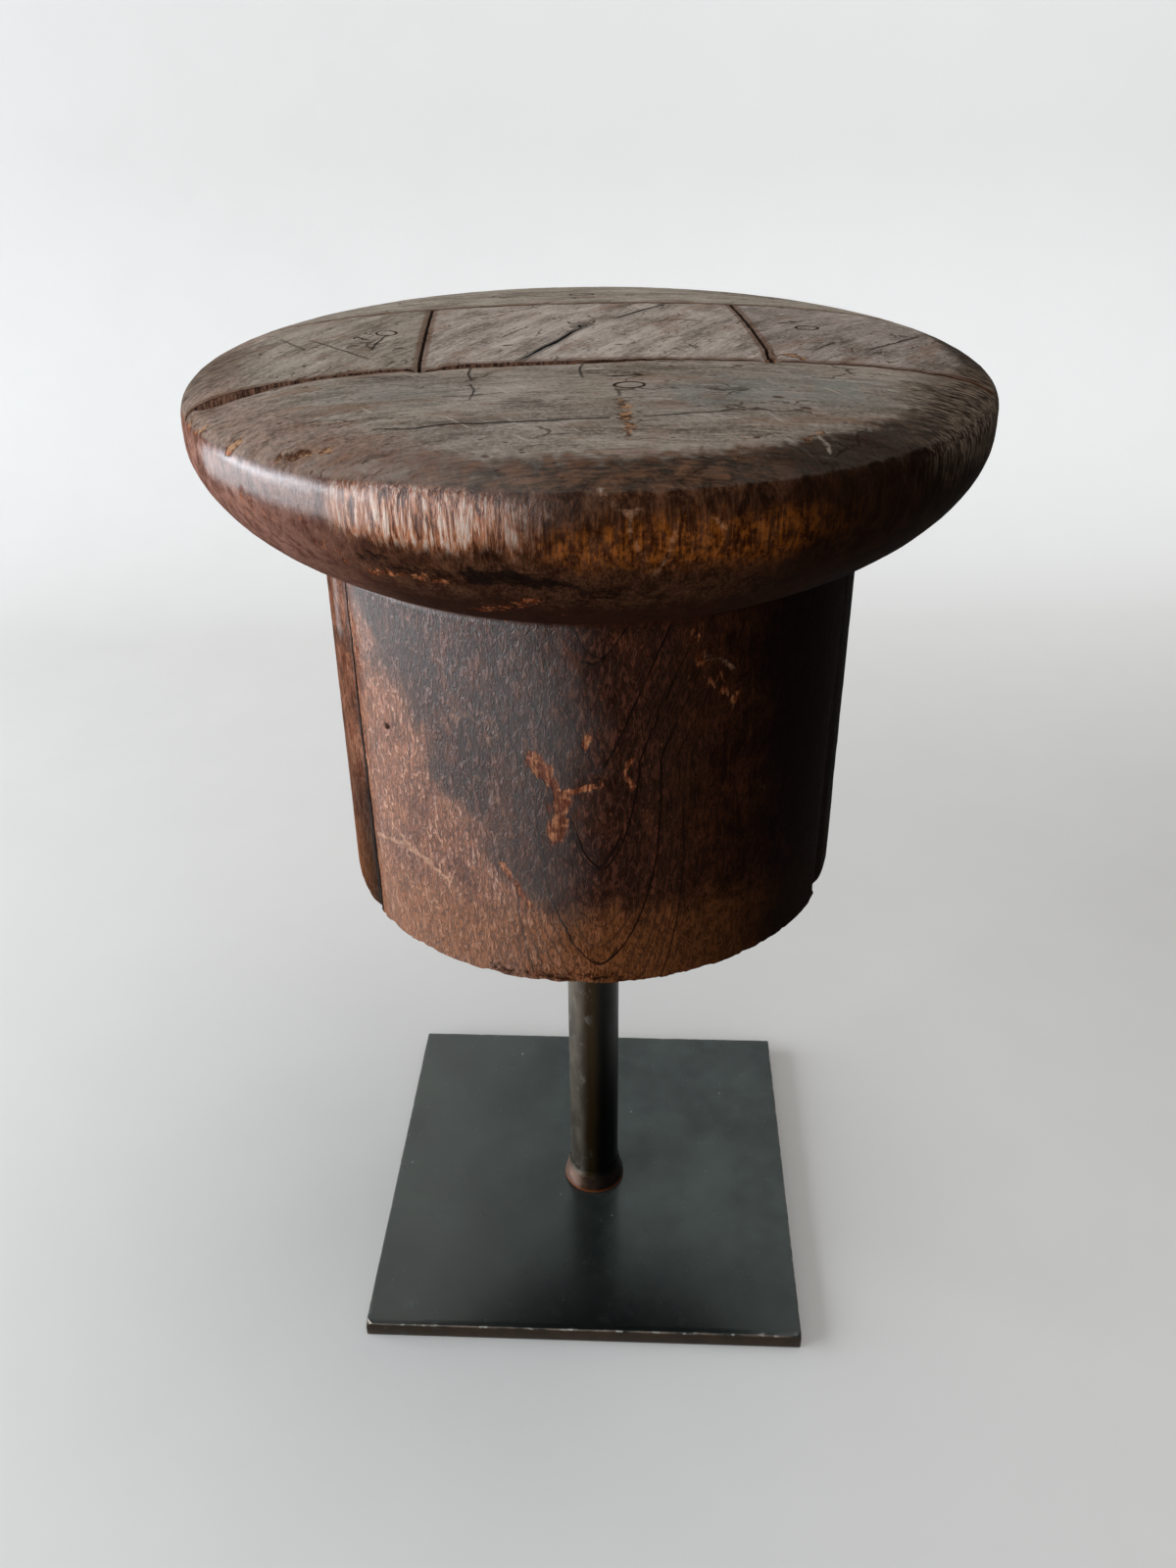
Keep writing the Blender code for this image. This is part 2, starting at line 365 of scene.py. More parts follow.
class Skin:
    # The turned surface that a segment had before wear: depth below it and direction out of it.
    def __init__(self, outline):
        samples = []
        for (r0, z0), (r1, z1) in zip(outline, outline[1:]):
            count = max(1, ceil(hypot(r1 - r0, z1 - z0) / blank["spacing"]))
            samples += [(r0 + (r1 - r0) * i / count, z0 + (z1 - z0) * i / count)
                        for i in range(count)]
        self.samples = np.array(samples + [outline[-1]])
        steps = np.gradient(self.samples, axis=0)
        steps /= np.linalg.norm(steps, axis=1)[:, None]
        self.normals = np.stack([steps[:, 1], -steps[:, 0]], 1)
        self.tree = kdtree.KDTree(len(self.samples))
        for index, (radius, height) in enumerate(self.samples):
            self.tree.insert((radius, height, 0), index)
        self.tree.balance()

    def measure(self, places):
        radius = np.hypot(places[:, 0], places[:, 1])
        nearest = np.array([self.tree.find((r, z, 0))[1] for r, z in zip(radius, places[:, 2])])
        sample, normal = self.samples[nearest], self.normals[nearest]
        depth = (sample[:, 0] - radius) * normal[:, 0] + (sample[:, 1] - places[:, 2]) * normal[:, 1]
        turn = places[:, :2] / np.maximum(radius, 1e-9)[:, None]
        return depth, np.column_stack([turn * normal[:, :1], normal[:, 1]])


wholeSkin = Skin(blockOutline(0.001))


def onTop(x, y):
    return Vector((x * mm, y * mm, topHeight(hypot(x, y) * mm)))


def onSide(degrees, height):
    radius = sideRadius(height * mm)
    return Vector((radius * sin(radians(degrees)), -radius * cos(radians(degrees)), height * mm))


def markPoints(face, line):
    return [(onTop if face == "top" else onSide)(*point) for point in line]


def distanceTo(places, points):
    points = [np.array(point) for point in points]
    best = np.linalg.norm(places - points[0], axis=1)
    for start, end in zip(points, points[1:]):
        along = end - start
        share = np.clip((places - start) @ along / (along @ along), 0, 1)
        best = np.minimum(best, np.linalg.norm(places - start - share[:, None] * along, axis=1))
    return best


def fade(distance, reach):
    share = np.clip(1 - distance / reach, 0, 1)
    return share * share * (3 - 2 * share)


def ramp(values, low, high):
    share = np.clip((values - low) / (high - low), 0, 1)
    return share * share * (3 - 2 * share)


def inRegion(key, degrees, height):
    (turn, wide), (level, tall) = regions[key]
    return fade(np.abs(degrees - turn), wide) * fade(np.abs(height - level), tall)


def bumps(places, size, octaves=3, seed=0.0):
    # Noise from about -1 to 1 at each vertex, with lumps of this size.
    shift = Vector((seed, 2 * seed, 3 * seed))
    return np.array([noise.fractal(Vector(place) / size + shift, 0.7, 2.0, octaves)
                     for place in places])


# Cracks cut into the wood: face, width across the mouth, depth below the skin, and points. In mm.
# A point of the top is (x, y), a point of the side is (degrees, height).
cracks = {
    "front": [
        ("top", 0.5, 1.0, (-60, -89), (-50, -91), (-40, -90.5), (-32, -91.5), (-15, -92), (0, -91.5)),
        ("top", 0.3, 0.5, (9, -91), (20, -89), (31, -87)),
        ("top", 0.3, 0.6, (-36, -43), (-36.5, -50), (-35.5, -57)),
        ("top", 0.22, 0.4, (-36, -60), (-34.5, -66), (-35.8, -74)),
        ("top", 0.28, 0.5, (-4, -43), (-5.4, -50), (-5.0, -58)),
        ("top", 0.22, 0.4, (-27, -69), (-36, -71), (-43, -70)),
        ("side", 0.3, 0.5, (-3.6, 197.6), (-1.6, 195.6), (0.6, 197.6), (2.2, 203)),
        ("side", 0.36, 0.8, (-7.0, 250), (-5.2, 239.5), (-1.8, 232.6), (1.9, 241.0), (2.8, 246.0)),
        ("side", 0.3, 0.5, (-5.0, 303.5), (-2.6, 302.2), (0.2, 304.8)),
    ],
    "key": [
        ("top", 1.4, 3.0, (-22, -41), (-16, -30), (-10, -19), (-6, -9), (-2, -1)),
        ("top", 3.0, 3.0, (-3.2, -1.4), (-2, 0.5), (-1.0, 2.2)),
        ("top", 0.35, 0.8, (-27, -12), (-23, -5), (-19, 2)),
        ("top", 0.7, 1.2, (9, 11), (17, 23), (27, 37)),
    ],
    "left": [
        ("top", 0.45, 1.0, (-66, -18), (-65, -8), (-63, 2)),
        ("top", 0.25, 0.5, (-88, 6), (-77, -12), (-66, -29)),
        ("top", 0.22, 0.4, (-98, 14), (-92, 1), (-87, -9)),
    ],
    "right": [
        ("top", 0.4, 0.8, (83, -24), (94, -11), (103, 1), (108, 9)),
        ("top", 0.25, 0.4, (66, -28), (74, -17)),
    ],
    "back": [
        ("top", 0.35, 0.9, (-40, 75), (-20, 77), (5, 76)),
    ],
}

# How a crack is cut. In mm.
cutting = {
    "step": 1.8,            # along the crack
    "above": 0.4,           # how far the cutter stands out of the skin
    "swellSize": 4,         # of the noise that widens and narrows it
    "wanderSize": 6,        # of the noise that bends it
    "wander": 0.5,
    "thinnest": 0.12,       # at the ends, as a share of the width
}

# The set's plain number, 10, struck into every piece. In mm.
numerals = {"height": 8.5, "roundWidth": 5.6, "pitch": 8.6, "width": 1.0, "depth": 0.8,
            "wander": 0.1, "thinnest": 0.9}


def numeralStrokes(x, y, turn):
    # The figure 1 is a stroke with a flag and the figure 0 is an oval, both in the piece's own direction.
    half, swing, middle = numerals["height"] / 2, radians(turn), -numerals["pitch"] / 2
    one = [(middle - 1.7, half - 1.9), (middle, half), (middle, -half)]
    oval = [(numerals["pitch"] / 2 + numerals["roundWidth"] / 2 * sin(step * pi / 6),
             half * cos(step * pi / 6)) for step in range(13)]
    return [[(x + u * cos(swing) - v * sin(swing), y + u * sin(swing) + v * cos(swing))
             for u, v in stroke] for stroke in (one, oval)]


def crackCutter(name, face, width, depth, line, wander=cutting["wander"],
                thinnest=cutting["thinnest"]):
    # A wedge that follows the crack on the skin and runs out to almost nothing at both ends.
    path = []
    for start, end in zip(line, line[1:]):
        length = (markPoints(face, [end])[0] - markPoints(face, [start])[0]).length
        count = max(2, round(length / (cutting["step"] * mm)))
        path += [Vector(start).lerp(Vector(end), i / count) for i in range(count)]
    points = markPoints(face, path + [Vector(line[-1])])
    outward = wholeSkin.measure(np.array(points))[1]
    sections, above = [], cutting["above"] * mm
    for index, point in enumerate(points):
        before, after = points[max(index - 1, 0)], points[min(index + 1, len(points) - 1)]
        out = Vector(outward[index])
        side = (after - before).cross(out).normalized()
        share = index / (len(points) - 1)
        swell = max(thinnest, (4 * share * (1 - share)) ** 0.5)
        swell *= 1 + wander * 0.9 * noise.noise(point / (cutting["swellSize"] * mm))
        half, deep = width * mm / 2 * swell, depth * mm * swell
        centre = point + side * wander * mm * noise.noise(point / (cutting["wanderSize"] * mm))
        half *= (deep + above) / deep
        sections.append([centre + out * above - side * half, centre + out * above + side * half,
                         centre - out * deep])
    bm = bmesh.new()
    end = bm.faces.new([bm.verts.new(corner) for corner in sections[0]])
    for index, (before, after) in enumerate(zip(sections, sections[1:])):
        start = end
        made = bmesh.ops.extrude_face_region(bm, geom=[start])["geom"]
        end = next(part for part in made if isinstance(part, bmesh.types.BMFace))
        if index:
            bm.faces.remove(start)      # the first section stays as an end face
        for vert in end.verts:
            nearest = min(range(3), key=lambda i: (vert.co - before[i]).length)
            vert.co = after[nearest]
    bmesh.ops.recalc_face_normals(bm, faces=bm.faces[:])
    return makePiece(name, bm, smooth=False)


def boxBetween(low, high):
    bm = bmesh.new()
    size = [b - a for a, b in zip(low, high)]
    middle = [(a + b) / 2 for a, b in zip(low, high)]
    bmesh.ops.create_cube(bm, size=1.0,
                          matrix=Matrix.Translation(middle) @ Matrix.Diagonal((*size, 1.0)))
    return bm


def carve(piece, cutters):
    for cutter in cutters:
        modifier = piece.modifiers.new(cutter.name, "BOOLEAN")
        modifier.operation = "DIFFERENCE"
        modifier.solver = "MANIFOLD"
        modifier.object = cutter
    bpy.context.view_layer.update()
    reader = bpy.context.evaluated_depsgraph_get()
    carved = bpy.data.meshes.new_from_object(piece.evaluated_get(reader))
    piece.modifiers.clear()
    piece.data = carved
    for cutter in cutters:
        bpy.data.objects.remove(cutter)


# Room for the splines and the spigot, as in the solids
fit = {
    "slotGap": 0.0003,
    "groovePlay": 0.0004,
    "grooveStart": 0.045,       # from the middle, before the seam with the key
    "grooveEnd": 0.0946,
    "boreRadius": 0.0085,
    "boreTop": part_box("post")[1].z + 0.005,
    "boreSteps": 64,
}


def slotCutter(splineName):
    low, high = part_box(splineName)
    gap = Vector((1, 1, 1)) * fit["slotGap"]
    return makePiece("slot_" + splineName, boxBetween(low - gap, high + gap), smooth=False)


def grooveCutter(splineName):
    low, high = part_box(splineName)
    play, hand = fit["groovePlay"], 1 if low.x > 0 else -1
    spans = sorted((hand * fit["grooveStart"], hand * fit["grooveEnd"]))
    bm = boxBetween((spans[0], low.y - play, low.z - play), (spans[1], high.y + play, high.z + play))
    return makePiece("groove_" + splineName, bm, smooth=False)


def boreCutter():
    outline = [(0.0, woodBase - 0.01), (fit["boreRadius"], woodBase - 0.01),
               (fit["boreRadius"], fit["boreTop"]), (0.0, fit["boreTop"])]
    return makePiece("bore", turnOutline(outline, fit["boreSteps"]), smooth=False)


# The five wooden pieces: the sides they are sawn on, the colours of top and side from dark to light,
# the turn of the growth rings in degrees, and the number's middle and turn.
segments = {
    "front": {"node": "front_segment", "seams": ["back"], "footRound": 0.0010, "ringTurn": 0,
              "top": ("574d42", "a2968a"), "side": ("2e170d", "643a24"), "number": (7.3, -62.0, -90)},
    "back": {"node": "back_segment", "seams": ["front"], "footRound": 0.0010, "ringTurn": 0,
             "top": ("6b6258", "b2a799"), "side": ("2e170d", "6a4433"), "number": (1, 60, 90)},
    "left": {"node": "left_segment", "seams": ["right", "front", "back"], "footRound": 0.0025,
             "ringTurn": 58, "top": ("5f554a", "ada194"), "side": ("5e3526", "b47c5f"),
             "number": (-67, 2, 35)},
    "right": {"node": "right_segment", "seams": ["left", "front", "back"], "footRound": 0.0055,
              "ringTurn": 52, "top": ("5f554c", "aca097"), "side": ("241510", "4f382c"),
              "number": (67, 6, -55)},
    "key": {"node": "center_key", "seams": ["right", "left", "front", "back"], "footRound": 0.0010,
            "ringTurn": 60, "top": ("695e54", "bdb0a5"), "side": ("4a2f22", "7a5643"),
            "number": (-2, 11, -90), "reach": 0.070},
}
splines = [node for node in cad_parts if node.startswith("spline_")]


def seamPlanes(plan):
    # Each seam as its direction out of the piece and its offset from the middle.
    low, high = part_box(plan["node"])
    planes = {"left": (Vector((-1, 0, 0)), -low.x), "right": (Vector((1, 0, 0)), high.x),
              "front": (Vector((0, -1, 0)), -low.y), "back": (Vector((0, 1, 0)), high.y)}
    return [planes[seam] for seam in plan["seams"]]


# How the wood has worn. All sizes in mm.
wear = {
    "arrisLoops": (0.35, 0.9, 1.7, 2.8),    # extra edges beside a seam
    "arrisWidth": 2.4,
    "arrisDepth": 0.38,
    "waver": 0.30,              # slow unevenness of the whole turned surface
    "waverSize": 55,
    "dimple": 0.07,             # small unevenness
    "dimpleSize": 6,
    "seamTaper": 1.1,           # the long seams open downwards along the drum
    "seamTaperWidth": 5.0,
    "rib": 0.22,                # upright ribs on the rim's front
    "footRag": 0.9,             # torn lower border of the drum
    "frontDrop": 0.75,          # the front piece has shrunk below its neighbours
    "frontEndDrop": 1.9,        # more at its left end
    "fadeOut": (0.3, 4),        # wear ends between these depths below the skin
    "sawnDepth": 0.12,          # faces deeper than this show sawn wood
    "onSeam": 0.01,             # what lies this close to a seam belongs to it
}

# Hollows: what was torn or knocked out. Face, reach and depth in mm, and points.
hollows = [
    ("side", 2.4, 0.5, (-52.6, 362.6), (-51.6, 364.8)),
    ("side", 2.6, 0.8, (-41.6, 364.5), (-38.2, 367.0)),
    ("side", 9.0, 0.7, (-18, 339), (-13, 340), (-8, 338)),
    ("side", 4.5, 0.6, (-13.4, 268), (-10.4, 262), (-8.2, 254), (-7.4, 245)),
    ("top", 3.0, 0.6, (4.5, -82), (4.8, -90), (4.4, -94)),
    ("top", 2.4, 0.5, (49, -103), (51, -97)),
    ("top", 4.0, 1.6, (49.8, -42), (50.0, -36), (52, -33)),
    ("top", 4.0, 1.0, (-50.5, -42), (-47, -41.5)),
    ("side", 4.0, 0.5, (-64.8, 363.5), (-61.8, 365.0)),
    ("side", 3.0, 0.7, (-49.3, 268.1)),
    ("side", 6.0, 1.0, (-14, 188), (-6, 188.5)),
]

# Soft regions of the skin: middle and reach in degrees, middle and reach of the height.
regions = {
    "ribsCut": ((-21.5, 17), (354, 13)),
    "ribsSeen": ((-22, 19), (356, 12)),
    "amber": ((10, 36), (351, 16)),
}

# Painted marks, each a soft spot round a line: face, reach in mm, strength, and points.
marks = {
    "ember": [     # torn places where the bare orange wood shows
        ("side", 3.0, 0.95, (-52.8, 361.8), (-51.6, 364.8)),
        ("side", 3.0, 0.8, (-42.6, 364.2), (-40, 365.6), (-36.4, 367.4)),
        ("top", 4.4, 0.66, (4.0, -80), (5.2, -86), (4.2, -92), (5.0, -98)),
        ("top", 2.8, 0.6, (4.2, -101), (4.4, -104)),
        ("side", 6.0, 0.9, (-14.2, 271), (-12.8, 267)),
        ("side", 4.0, 0.85, (-12.8, 267), (-10.2, 261), (-8.8, 256)),
        ("side", 6.6, 0.9, (-8.8, 256), (-9.6, 250), (-10.0, 245)),
        ("side", 2.6, 0.7, (-9.5, 259), (-5.0, 261.5), (-1.5, 262.5)),
        ("side", 2.6, 0.85, (-3.8, 278.6), (-4.4, 276)),
        ("side", 2.3, 0.7, (4.4, 271), (3.0, 267), (4.8, 261)),
        ("side", 2.4, 0.75, (-21.7, 231.7), (-19.1, 225.7), (-16.2, 217)),
        ("side", 4.1, 0.55, (-59, 300), (-58.5, 284)),
        ("side", 6.0, 0.42, (-16, 190), (-3, 191), (6, 190)),
        ("side", 6.8, 0.42, (16.2, 310.7), (18, 300), (25.8, 286)),
        ("side", 7.0, 0.5, (-49.4, 352), (-46, 348)),
        ("side", 7.0, 0.45, (-37.5, 346.8), (-35.3, 340)),
        ("top", 3.8, 0.8, (49.8, -42), (51.5, -36), (57, -35), (60, -39)),
        ("top", 2.4, 0.6, (33, -103), (37, -102)),
        ("top", 3.2, 0.6, (49, -102), (54, -97)),
        ("side", 4.0, 0.6, (-70, 352), (-68.5, 358), (-67, 363)),
        ("side", 3.6, 0.55, (-64, 361), (-61, 364)),
        ("side", 6.0, 0.55, (-19, 325), (-14, 329), (-10, 333)),
        ("side", 4.0, 0.6, (-31, 337), (-26, 339), (-21, 338)),
    ],
    "pale": [     # scratches and bruises that broke the wax
        ("side", 1.8, 0.75, (-58, 222.5), (-48, 226), (-39.1, 224.3)),
        ("side", 1.8, 0.8, (-50.9, 231.7), (-42, 225), (-34.1, 219.5)),
        ("side", 1.4, 0.7, (-48, 214), (-38, 206)),
        ("side", 2.4, 0.5, (18.4, 301.3), (22, 300), (25.4, 295)),
        ("side", 2.6, 0.5, (-2.1, 364.6), (-0.7, 361.4), (0.9, 359.1), (2.3, 359.9)),
        ("side", 2.4, 0.46, (0.9, 359.1), (1.6, 352), (3.0, 347)),
        ("side", 2.4, 0.46, (6.5, 356), (5.5, 348), (4.0, 341)),
        ("side", 2.4, 0.46, (10.5, 357), (12.5, 353)),
        ("side", 8.0, 0.38, (-33, 278), (-28, 284), (-23, 281), (-22, 274)),
        ("side", 3.5, 0.42, (-26, 262), (-22, 255), (-19, 243)),
        ("top", 2.4, 0.62, (-62, -6), (-59, 7), (-51, 29)),
        ("top", 1.4, 0.8, (52, -100), (54, -104), (54, -108)),
        ("top", 3.4, 0.4, (-22, -72), (-10, -75)),
        ("top", 4.1, 0.5, (-40, -38), (-30, -36)),
        ("top", 6.8, 0.45, (1, 24), (-12, 26)),
        ("top", 8.1, 0.4, (28, -18), (11, -11)),
    ],
    "soot": [     # burnt or knotty places
        ("side", 8.0, 0.78, (-17, 340), (-12, 341), (-8, 339)),
        ("side", 7.0, 0.6, (-8, 339), (0, 335)),
        ("side", 6.5, 0.62, (-31, 343), (-20, 339)),
        ("side", 5.0, 0.38, (-40, 334), (-22, 330)),
        ("side", 4.6, 0.75, (-49.3, 268.1)),
        ("side", 7.5, 0.56, (-24, 190.5), (-10, 189), (5, 190)),
    ],
    "polish": [     # where hands kept the rim shining
        ("side", 8.5, 1.0, (-59, 356.5), (-52, 358.5), (-39.4, 358), (-29, 355.5)),
        ("side", 30.0, 0.35, (-56, 308), (-30, 300), (-8, 280)),
        ("side", 7.0, 1.0, (-68, 307), (-69, 292)),
    ],
    # Painted light: these marks also lighten sawn faces that the lamps leave dark.
    "litRust": [     # reddish wood bared along a seam
        ("top", 7.0, 1.0, (-113, -42.6), (-75, -42.6), (-49, -42.6)),
        ("top", 5.0, 0.8, (-50, -42), (-6, -42)),
        ("side", 8.0, 0.8, (-70, 330), (-68.5, 352)),
    ],
    "slate": [     # cool grey, polished areas of the top
        ("top", 23.0, 0.8, (22, -74), (49, -68), (68, -66)),
        ("top", 18.9, 0.5, (-70, -62), (-48, -66)),
    ],
}


def sinkOf(name, limits, places, depth, outward):
    # How far wear takes each vertex in, in metres, and how far it lifts the torn foot.
    height = places[:, 2]
    radius = np.hypot(places[:, 0], places[:, 1])
    degrees = np.degrees(np.arctan2(places[:, 0], -places[:, 1]))
    sink = wear["waver"] * mm * (0.5 + 0.5 * bumps(places, wear["waverSize"] * mm))
    sink += wear["dimple"] * mm * bumps(places, wear["dimpleSize"] * mm, seed=5.0)
    onSide = 1 - ramp(np.abs(outward[:, 2]), 0.75, 0.95)
    for normal, offset in limits:
        gap = (offset - places @ np.array(normal)) / mm
        notch = 0.75 + 0.75 * bumps(places, 5 * mm, seed=9.0)
        worn = np.clip(notch, 0.2, 2) * np.clip(1 - gap / wear["arrisWidth"], 0, 1) ** 2
        sink += wear["arrisDepth"] * mm * worn
        if abs(normal.y) > 0.5:
            low = ramp(junction - height, 0.0, junction - woodBase)
            sink += wear["seamTaper"] * mm * low * onSide * fade(gap, wear["seamTaperWidth"])
    if name == "front":
        x, gap = places[:, 0] / mm, (limits[0][1] - places[:, 1]) / mm
        drop = wear["frontDrop"] * (0.45 + 0.55 * ramp(x, -56, -49)) * (1 - ramp(x, -12, 25))
        drop += wear["frontEndDrop"] * ramp(-x, 76, 112)
        sink += drop * mm * fade(gap, 42) * (1 - onSide)
    ribs = wear["rib"] * inRegion("ribsCut", degrees, height / mm)
    lines = np.column_stack([degrees * 2.2 / 1.25, height / mm / 16, 0 * height]) * mm
    sink += ribs * mm * (0.5 + 0.5 * bumps(lines, 1 * mm, 2, seed=3.0)) * onSide
    for face, reach, deepest, *line in hollows:
        distance = distanceTo(places, markPoints(face, line))
        close = distance < reach * mm
        if close.any():
            rough = 0.8 + 0.5 * bumps(places[close], 2.2 * mm, seed=1.0)
            sink[close] += deepest * mm * fade(distance[close], reach * mm) * rough
    edge = ramp(radius, blank["drumRadius"] - 5 * mm, blank["drumRadius"] - 2 * mm)
    rag = np.clip(bumps(places, 4.5 * mm, seed=2.0) + 0.15, 0, 1) * fade(height - woodBase, 4 * mm) * edge
    sink += 0.35 * wear["footRag"] * mm * rag
    near = 1 - ramp(depth / mm, *wear["fadeOut"])
    return sink * near * ramp(outward[:, 2], -1.0, -0.9), wear["footRag"] * mm * rag


def wearSegment(name, limits, mesh, skin):
    # Paints the masks on the unworn skin, and then sinks it.
    places = readPlaces(mesh.vertices, "co")
    depth, outward = skin.measure(places)
    centres = readPlaces(mesh.polygons, "center")
    inside = skin.measure(centres)[0] > wear["sawnDepth"] * mm
    for normal, offset in limits:
        inside |= np.abs(centres @ np.array(normal) - offset) < wear["onSeam"] * mm
    mesh.polygons.foreach_set("material_index", inside.astype(np.int32))
    paintMasks(name, limits, mesh, places, outward)
    sink, lift = sinkOf(name, limits, places, depth, outward)
    move = -outward * sink[:, None]
    move[:, 2] += lift
    for normal, offset in limits:
        flat = np.array(normal)
        onSeam = np.abs(places @ flat - offset) < wear["onSeam"] * mm
        move[onSeam] -= np.outer(move[onSeam] @ flat, flat)
    mesh.vertices.foreach_set("co", (places + move).ravel())
    mesh.update()


def paintMasks(name, limits, mesh, places, outward):
    # Soft masks at the vertices, which the finishes then break up with noise.
    degrees = np.degrees(np.arctan2(places[:, 0], -places[:, 1]))
    height, radius = places[:, 2] / mm, np.hypot(places[:, 0], places[:, 1]) / mm
    patch = bumps(places, 24 * mm, seed=11.0)
    onDrum = 1 - ramp(height, junction / mm - 0.6, junction / mm + 0.6)
    onRim = 1 - onDrum
    border = -13 - 0.45 * (height - 211) + 6 * patch
    onFront = 1 - ramp(np.abs(degrees), 95, 150)
    charred = (name == "left") * fade(np.abs(degrees + 60), 26) * (1 - ramp(height, 226, 252))
    leftRim = ramp(-degrees, 20, 45) * onFront
    # Painted shade: the right side, away from the lamps, is darkened, fading out towards the back. On the
    # left piece the charred lower part joins it.
    shade = ramp(degrees + 5 * patch, 6, 44) * (1 - ramp(np.abs(degrees) + 14 * patch, 105, 172))
    masks = {
        "weather": ramp(outward[:, 2] + 0.3 * leftRim, 0.45, 0.95),
        "stain": onDrum * ramp(degrees - border, -12, 12) * (1 - ramp(degrees, 0, 26)),
        "ruddy": onDrum * (1 - ramp(degrees - border, -14, 12)) * onFront * (name == "front"),
        "shadeAndChar": np.maximum(shade, 0.85 * charred),
        "flesh": onRim * ramp(-degrees, 24, 44) * onFront * (1 - 0.75 * ramp(height, 359, 365)),
        "under": onRim * (1 - ramp(height, 325, 347)) * (1 - 0.6 * leftRim),
        "amber": onRim * inRegion("amber", degrees, height),
        "mauve": ramp(radius, 98, 119) * ramp(-degrees, 5, 35) * onFront,
        "ribs": onRim * inRegion("ribsSeen", degrees, height) ** 0.6,
        # Painted shade along the rounded edge of the top, where it turns down to the rim.
        "edgeShade": ramp(radius, 104, 120) * ramp(degrees, -80, 8) * (1 - ramp(degrees, 85, 130)),
        "gloss": ramp(-degrees, -8, 25) * (1 - 0.85 * ramp(-degrees, 54, 66)) * onFront
                 * (1 - 0.9 * onRim * (1 - ramp(height, 348, 359)))
                 * (1 - 0.8 * onRim * ramp(height, 357.5, 361.5) * ramp(-degrees, 26, 32)),
        "wool": (fade(np.abs(degrees + 86), 22) + fade(np.abs(degrees - 62), 32))
                * ramp(height, 345, 362) * ramp(radius, 92, 116),
        # Rises towards the drum's foot: a reddish border, lightened by painted warm light thrown up from
        # the floor.
        "foot": fade(height - woodBase / mm, 58),
    }
    masks.update({key: 0 * height for key in ("seam", "halo", "crack", *marks)})
    for normal, offset in limits:
        gap = (offset - places @ np.array(normal)) / mm
        opening = onDrum * ramp(junction / mm - height, 0, 130)
        masks["seam"] = np.maximum(masks["seam"], 1 - ramp(gap, 0.05, 0.5 + 1.9 * opening))
        masks["halo"] = np.maximum(masks["halo"], 1 - ramp(gap, 0.5, 3.0))
    for key, rows in marks.items():
        for face, reach, strength, *line in rows:
            spot = strength * fade(distanceTo(places, markPoints(face, line)), reach * mm)
            masks[key] = np.maximum(masks[key], spot)
    # The crack mask carries painted shade into the cracks and the struck numbers.
    struck = [("top", 0, 0, *line) for line in numeralStrokes(*segments[name]["number"])]
    for face, width, depth, *line in cracks[name] + struck:
        beside = distanceTo(places, markPoints(face, line)) - width * mm
        masks["crack"] = np.maximum(masks["crack"], fade(np.maximum(beside, 0), 1.0 * mm))
    for key, values in masks.items():
        layer = mesh.attributes.new(key, "FLOAT", "POINT")
        layer.data.foreach_set("value", values.astype(np.float32))


def makeSegment(name, plan, skinFinish, sawnFinish):
    bm = turnOutline(blockOutline(plan["footRound"], plan.get("reach")), blank["spinSteps"])
    seams = seamPlanes(plan)
    for normal, offset in seams:
        cutPlane(bm, normal * offset, normal, 1e-7, saw=True)
    for normal, offset in seams:
        for distance in wear["arrisLoops"]:
            cutPlane(bm, normal * (offset - distance * mm), normal, 0.15 * mm)
    bmesh.ops.recalc_face_normals(bm, faces=bm.faces[:])
    piece = makePiece(plan["node"] + "_wood", bm, skinFinish, sawnFinish, smooth=False)
    cutter = slotCutter if name in ("front", "back") else grooveCutter
    cutters = [cutter(spline) for spline in splines if name in spline.split("_")]
    if name == "key":
        cutters.append(boreCutter())
    for index, (face, width, depth, *line) in enumerate(cracks[name]):
        cutters.append(crackCutter("crack_%s_%d" % (name, index), face, width, depth, line))
    for index, line in enumerate(numeralStrokes(*plan["number"])):
        cutters.append(crackCutter("numeral_%s_%d" % (name, index), "top", numerals["width"],
                                   numerals["depth"], line, numerals["wander"],
                                   numerals["thinnest"]))
    carve(piece, cutters)
    wearSegment(name, seams, piece.data, Skin(blockOutline(plan["footRound"])))
    smoothMesh(piece.data)
    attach(piece, name)
    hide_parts(plan["node"])


# Colours of the wood, before the light falls on it; a few stand for painted highlights, painted shade and
# painted light thrown up from the floor, as said where they are laid on.
stains = {
    "stainDark": "23120d", "stainLight": "5a3528", "ruddyDark": "5e3323", "ruddyLight": "b27658",
    "ruddyPale": "e6b89c", "blush": "70402c", "fleshDark": "5a3a31", "fleshLight": "a97c6c",
    "under": "24110a", "amberDark": "562508", "amberLight": "ee8830", "shadeAndChar": "0b0402",
    "edgeShadeDark": "180d06", "edgeShadeLight": "6a4833", "slate": "7f837e", "ribHighlight": "ffe4d2",
    "ribMiddle": "e89a70", "ribDark": "57270f", "mauveDark": "5b4238", "mauveLight": "967565",
    "foot": "9a5f36", "emberDark": "6a2f14", "emberLight": "d08a60", "emberTopDark": "4a2b1b",
    "emberTopLight": "a98262", "pale": "a89a8c", "paleSide": "cf9f80", "hole": "46291b",
    "soot": "0d0604", "chalk": "c4bab0", "pit": "3c2a20", "line": "42382e", "tan": "7d5d49",
    "scratch": "c9beb4", "glint": "a08a84", "groove": "1b0f0b", "fleck": "a8663f", "woolDark": "2b2019",
    "woolLight": "8c7b6a", "seam": "190e08", "halo": "5f3f2c",
}
